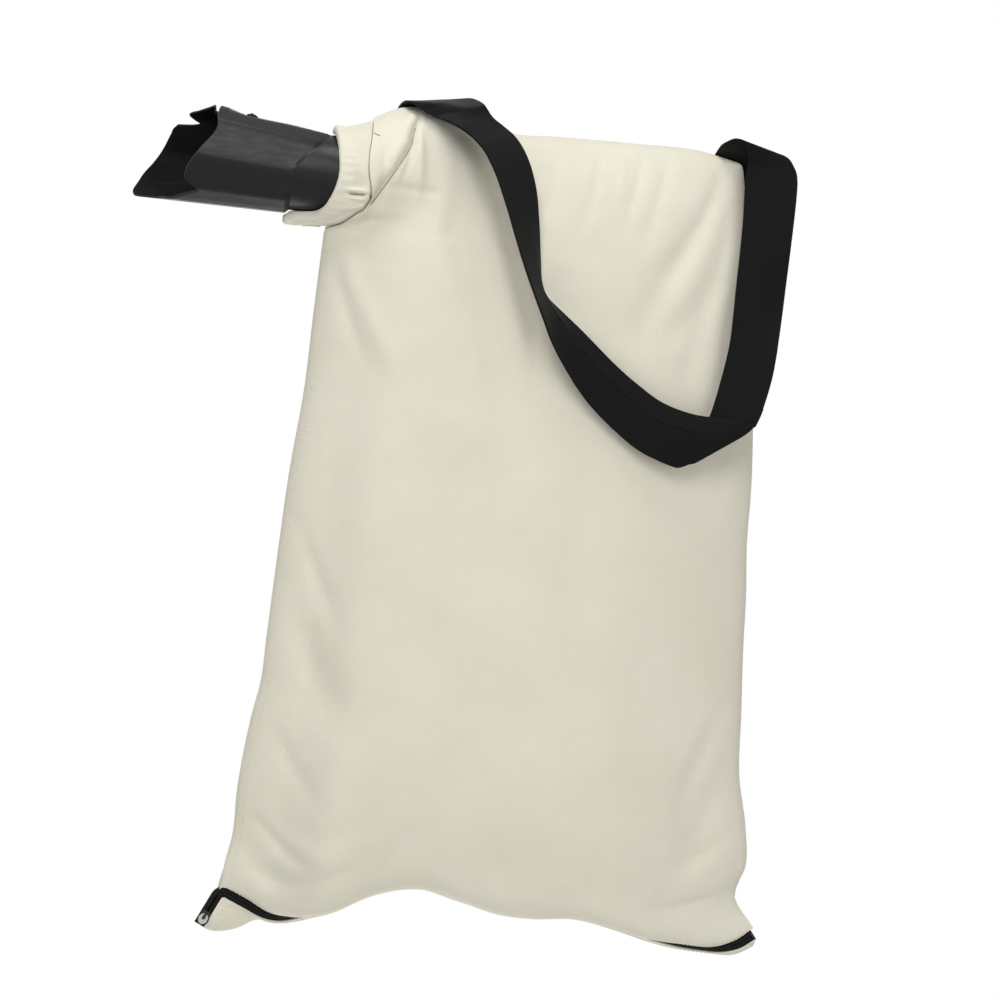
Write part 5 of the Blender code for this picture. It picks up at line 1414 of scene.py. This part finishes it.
def webbing_look(name, dark, light, across_pitch, along_pitch, roughness):
    """Woven synthetic tape: ribs along its length, crossed by finer ones."""
    made, tree, shader, where = new_material(name, ("UV",))
    ribs = bands(tree, where, "X", across_pitch)
    picks = bands(tree, where, "Y", along_pitch)
    fuzz = stretched_noise(tree, where, (900, 900, 1), 3.0)
    height = weighted(tree, ribs, 0.7, picks, 0.4)
    shade = math_node(tree, "MULTIPLY", math_node(tree, "ADD", height, fuzz), 0.5)
    set_inputs(tree, shader, {"Base Color": mix_colour(tree, shade, dark, light),
                              "Normal": bump(tree, height, 0.6, 0.0003), "Roughness": roughness,
                              "Sheen Weight": 0.03, "Sheen Roughness": 0.4, "Specular IOR Level": 0.1})
    return made


def plastic_look(name, dark, light, roughness, gloss=0.25):
    """Moulded plastic: a fine spark-eroded grain, faint flow marks and scuffs."""
    made, tree, shader, place = new_material(name, ("Object",))
    cloud = stretched_noise(tree, place, (25, 25, 25), 3.0)
    grain = stretched_noise(tree, place, (1500, 1500, 1500), 2.0)
    scuff = stretched_noise(tree, place, (60, 400, 300), 4.0)
    rough = map_range(tree, scuff, (0.35, 0.75), (roughness - 0.05, roughness + 0.10))
    set_inputs(tree, shader, {"Base Color": mix_colour(tree, cloud, dark, light), "Roughness": rough,
                              "Specular IOR Level": gloss, "Normal": bump(tree, grain, 0.25, 0.0001)})
    return made


def metal_look(name, dark, light, roughness, metallic):
    """Enamelled or bare metal, a little worn."""
    made, tree, shader, place = new_material(name, ("Object",))
    worn = stretched_noise(tree, place, (500, 500, 500), 4.0)
    set_inputs(tree, shader, {"Base Color": mix_colour(tree, worn, dark, light), "Roughness": roughness,
                              "Metallic": metallic, "Normal": bump(tree, worn, 0.2, 0.0001)})
    return made


# Camera, light and floor

PICTURE_CENTRE = Vector((0.2508, 0.0, -0.2695))
PICTURE_WIDTH = 0.76  # metres across the picture at the object
CAMERA_DISTANCE = 6.0
SENSOR = 36.0
FLOOR_HEIGHT = -0.95
FLOOR_RADIUS = 2.4
FLOOR_POINTS = 96
WORLD_LIGHT = 0.40


def aim(made, target):
    made.rotation_euler = (Vector(target) - made.location).to_track_quat("-Z", "Y").to_euler()


def make_camera():
    data = bpy.data.cameras.new("camera")
    data.sensor_width = SENSOR
    data.lens = SENSOR * CAMERA_DISTANCE / PICTURE_WIDTH
    data.clip_end = 50
    camera = bpy.data.objects.new("camera", data)
    bpy.context.scene.collection.objects.link(camera)
    camera.location = PICTURE_CENTRE + Vector((0, -CAMERA_DISTANCE, 0))
    aim(camera, PICTURE_CENTRE)
    bpy.context.scene.camera = camera


def make_lamp(name, place, power, size, target=PICTURE_CENTRE):
    data = bpy.data.lights.new(name, "AREA")
    data.energy = power
    data.shape = "DISK"
    data.size = size
    lamp = bpy.data.objects.new(name, data)
    bpy.context.scene.collection.objects.link(lamp)
    lamp.location = place
    aim(lamp, target)


def background_share(tree):
    """1 for the rays that see the backdrop: the camera's, and those of gloss and clear pieces."""
    rays = add(tree, "ShaderNodeLightPath")
    seen = math_node(tree, "MAXIMUM", rays.outputs["Is Camera Ray"], rays.outputs["Is Glossy Ray"])
    return math_node(tree, "MAXIMUM", seen, rays.outputs["Is Transmission Ray"])


def make_world():
    world = bpy.data.worlds.new("studio")
    world.use_nodes = True
    tree = world.node_tree
    shown = tree.nodes["Background"]
    set_inputs(tree, shown, {"Color": (1, 1, 1, 1), "Strength": 1.0})
    light = add(tree, "ShaderNodeBackground", {"Color": (0.95, 0.97, 1.0, 1), "Strength": WORLD_LIGHT})
    mixed = {0: background_share(tree), 1: light.outputs[0], 2: shown.outputs[0]}
    mixed = add(tree, "ShaderNodeMixShader", mixed).outputs[0]
    tree.links.new(mixed, tree.nodes["World Output"].inputs["Surface"])
    bpy.context.scene.world = world


def make_floor():
    made, tree, shader, place = new_material("floor_paint", ("Object",))
    tone = mix_colour(tree, stretched_noise(tree, place, (2, 2, 2)), (0.80, 0.80, 0.79), (0.84, 0.84, 0.83))
    set_inputs(tree, shader, {"Base Color": tone, "Roughness": 0.9})
    points = circle(np.zeros(3), FLOOR_RADIUS * ACROSS, FLOOR_RADIUS * DEPTH, FLOOR_POINTS)
    mesh = bpy.data.meshes.new("floor")
    mesh.from_pydata(points.tolist(), [], [tuple(range(FLOOR_POINTS))])
    floor = finish_mesh("floor", mesh, made)
    floor.location = (PICTURE_CENTRE.x, 0, FLOOR_HEIGHT)


make_camera()
make_world()
make_lamp("key", (0.20, -2.45, 1.42), 32, 1.6)
make_lamp("fill", (-1.9, -1.9, 0.0), 8, 1.8)
make_lamp("right", (2.0, -2.2, -0.6), 14, 1.8)
make_lamp("rear", (0.5, 2.6, 0.9), 26, 1.6)
make_lamp("top", (0.05, -0.35, 1.25), 9, 0.7, (0.2, 0, -0.05))
make_lamp("low", (0.08, 0.33, -0.80), 1.1, 0.45, (0.08, 0, -0.03))
make_floor()

bpy.context.scene.view_settings.view_transform = "Standard"

# Pieces

canvas = canvas_look("canvas_cloth", (0.70, 0.665, 0.545), (0.76, 0.73, 0.62), (0.665, 0.625, 0.50))
# Dark olive for the cords at the neck: partly real thread, and partly painted shade of the creases they lie
# in
painted_shade_thread = canvas_look("olive_thread_painted_shade", (0.27, 0.26, 0.19), (0.33, 0.32, 0.24), (0.20, 0.19, 0.14))
thread = canvas_look("cream_thread", (0.72, 0.68, 0.56), (0.78, 0.75, 0.64), (0.62, 0.58, 0.47))
plastic = plastic_look("duct_moulding", (0.007, 0.0075, 0.008), (0.011, 0.0115, 0.012), 0.32, 0.2)
# The duct's inside: the same plastic in a darker, duller copy, its darker colour painted shade of the hollow
painted_shade_inner_plastic = plastic_look("duct_inside_painted_shade", (0.003, 0.003, 0.0035), (0.006, 0.006, 0.0065), 0.6, 0.05)
webbing = webbing_look("strap_webbing", (0.003, 0.003, 0.003), (0.0075, 0.0075, 0.0072), 0.0019, 0.0013, 0.8)
tape_look = webbing_look("zip_tape_weave", (0.009, 0.009, 0.009), (0.020, 0.020, 0.020), 0.0009, 0.0009, 0.8)
coil_look = plastic_look("zip_nylon", (0.010, 0.010, 0.011), (0.018, 0.018, 0.019), 0.34)
enamel = metal_look("zip_enamel", (0.011, 0.011, 0.012), (0.022, 0.022, 0.023), 0.36, 0.3)
pull_look = metal_look("pull_metal", (0.40, 0.41, 0.37), (0.50, 0.51, 0.47), 0.42, 0.35)

for node, look in (("zip_slider", enamel), ("zip_pull", pull_look), ("zip_stop_front", enamel),
                   ("zip_stop_back", enamel), ("zip_end_stop", enamel)):
    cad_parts[node].data.materials.clear()
    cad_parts[node].data.materials.append(look)

path = zip_line()


def dress(made, slot, *nodes):
    if nodes:
        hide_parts(*nodes)
    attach(made, "bag")
    return made


front, front_edge, cloth, cloth_out = fine_panel("front_cloth", -1, path, canvas)
back, back_edge, behind, behind_out = fine_panel("back_cloth", 1, path, canvas)
cuff = fine_cuff(canvas, front_edge, back_edge)
dress(front, "canvas", "front_panel")
dress(back, "canvas", "back_panel")
dress(cuff, "canvas", "neck_sleeve", "elastic_hem")
for piece, node in fine_seams(canvas):
    dress(piece, "seam_thread", node)
dress(fine_gusset(cloth[NECK_LINES:, 0], behind[NECK_LINES:, 0], canvas), "canvas")
for piece in fine_zip(path, tape_look, coil_look):
    dress(piece, "zip_coil" if "coil" in piece.name else "zip_tape")
strap = dress(fine_strap(webbing), "webbing", "shoulder_strap")
dress(fine_duct(plastic, painted_shade_inner_plastic), "duct_plastic", "inlet_duct")
dress(fine_catch(plastic), "duct_plastic")

rows, (edge, edge_out, onward) = front_edge
shown = (rows > 0.12 * NECK_SHARE) & (rows < 0.985 * NECK_SHARE)
seam = edge - 0.5 * CANVAS * edge_out - CLEARANCE * onward
pleat, tack = (on_front(tree_of(front), *line) for line in ((PLEAT_LINE, 0.0), (TACK_LINE, THREAD_LIFT)))
slit = on_front(tree_of(cuff), SLIT_SHADE_LINE, THREAD_LIFT)
# Dark cords along the neck's seam, the pleat, the tack and the tuck's slit: real stitching at seam, pleat
# and tack, whose dark colour is also painted crease shade; the slit's cord is painted shade only
dress(thread_mesh("neck_stitching_painted_shade", [seam[shown], pleat, tack, slit], painted_shade_thread), "seam_thread")
stitches = [along_line(cloth[NECK_LINES + 4:-12, 6], cloth_out[NECK_LINES + 4:-12, 6]),
            along_line(cloth[-3, 1:-1], cloth_out[-3, 1:-1]),
            along_line(behind[-3, 1:-1], behind_out[-3, 1:-1])]
dress(stitch_mesh("seam_stitches", stitches, thread), "seam_thread")
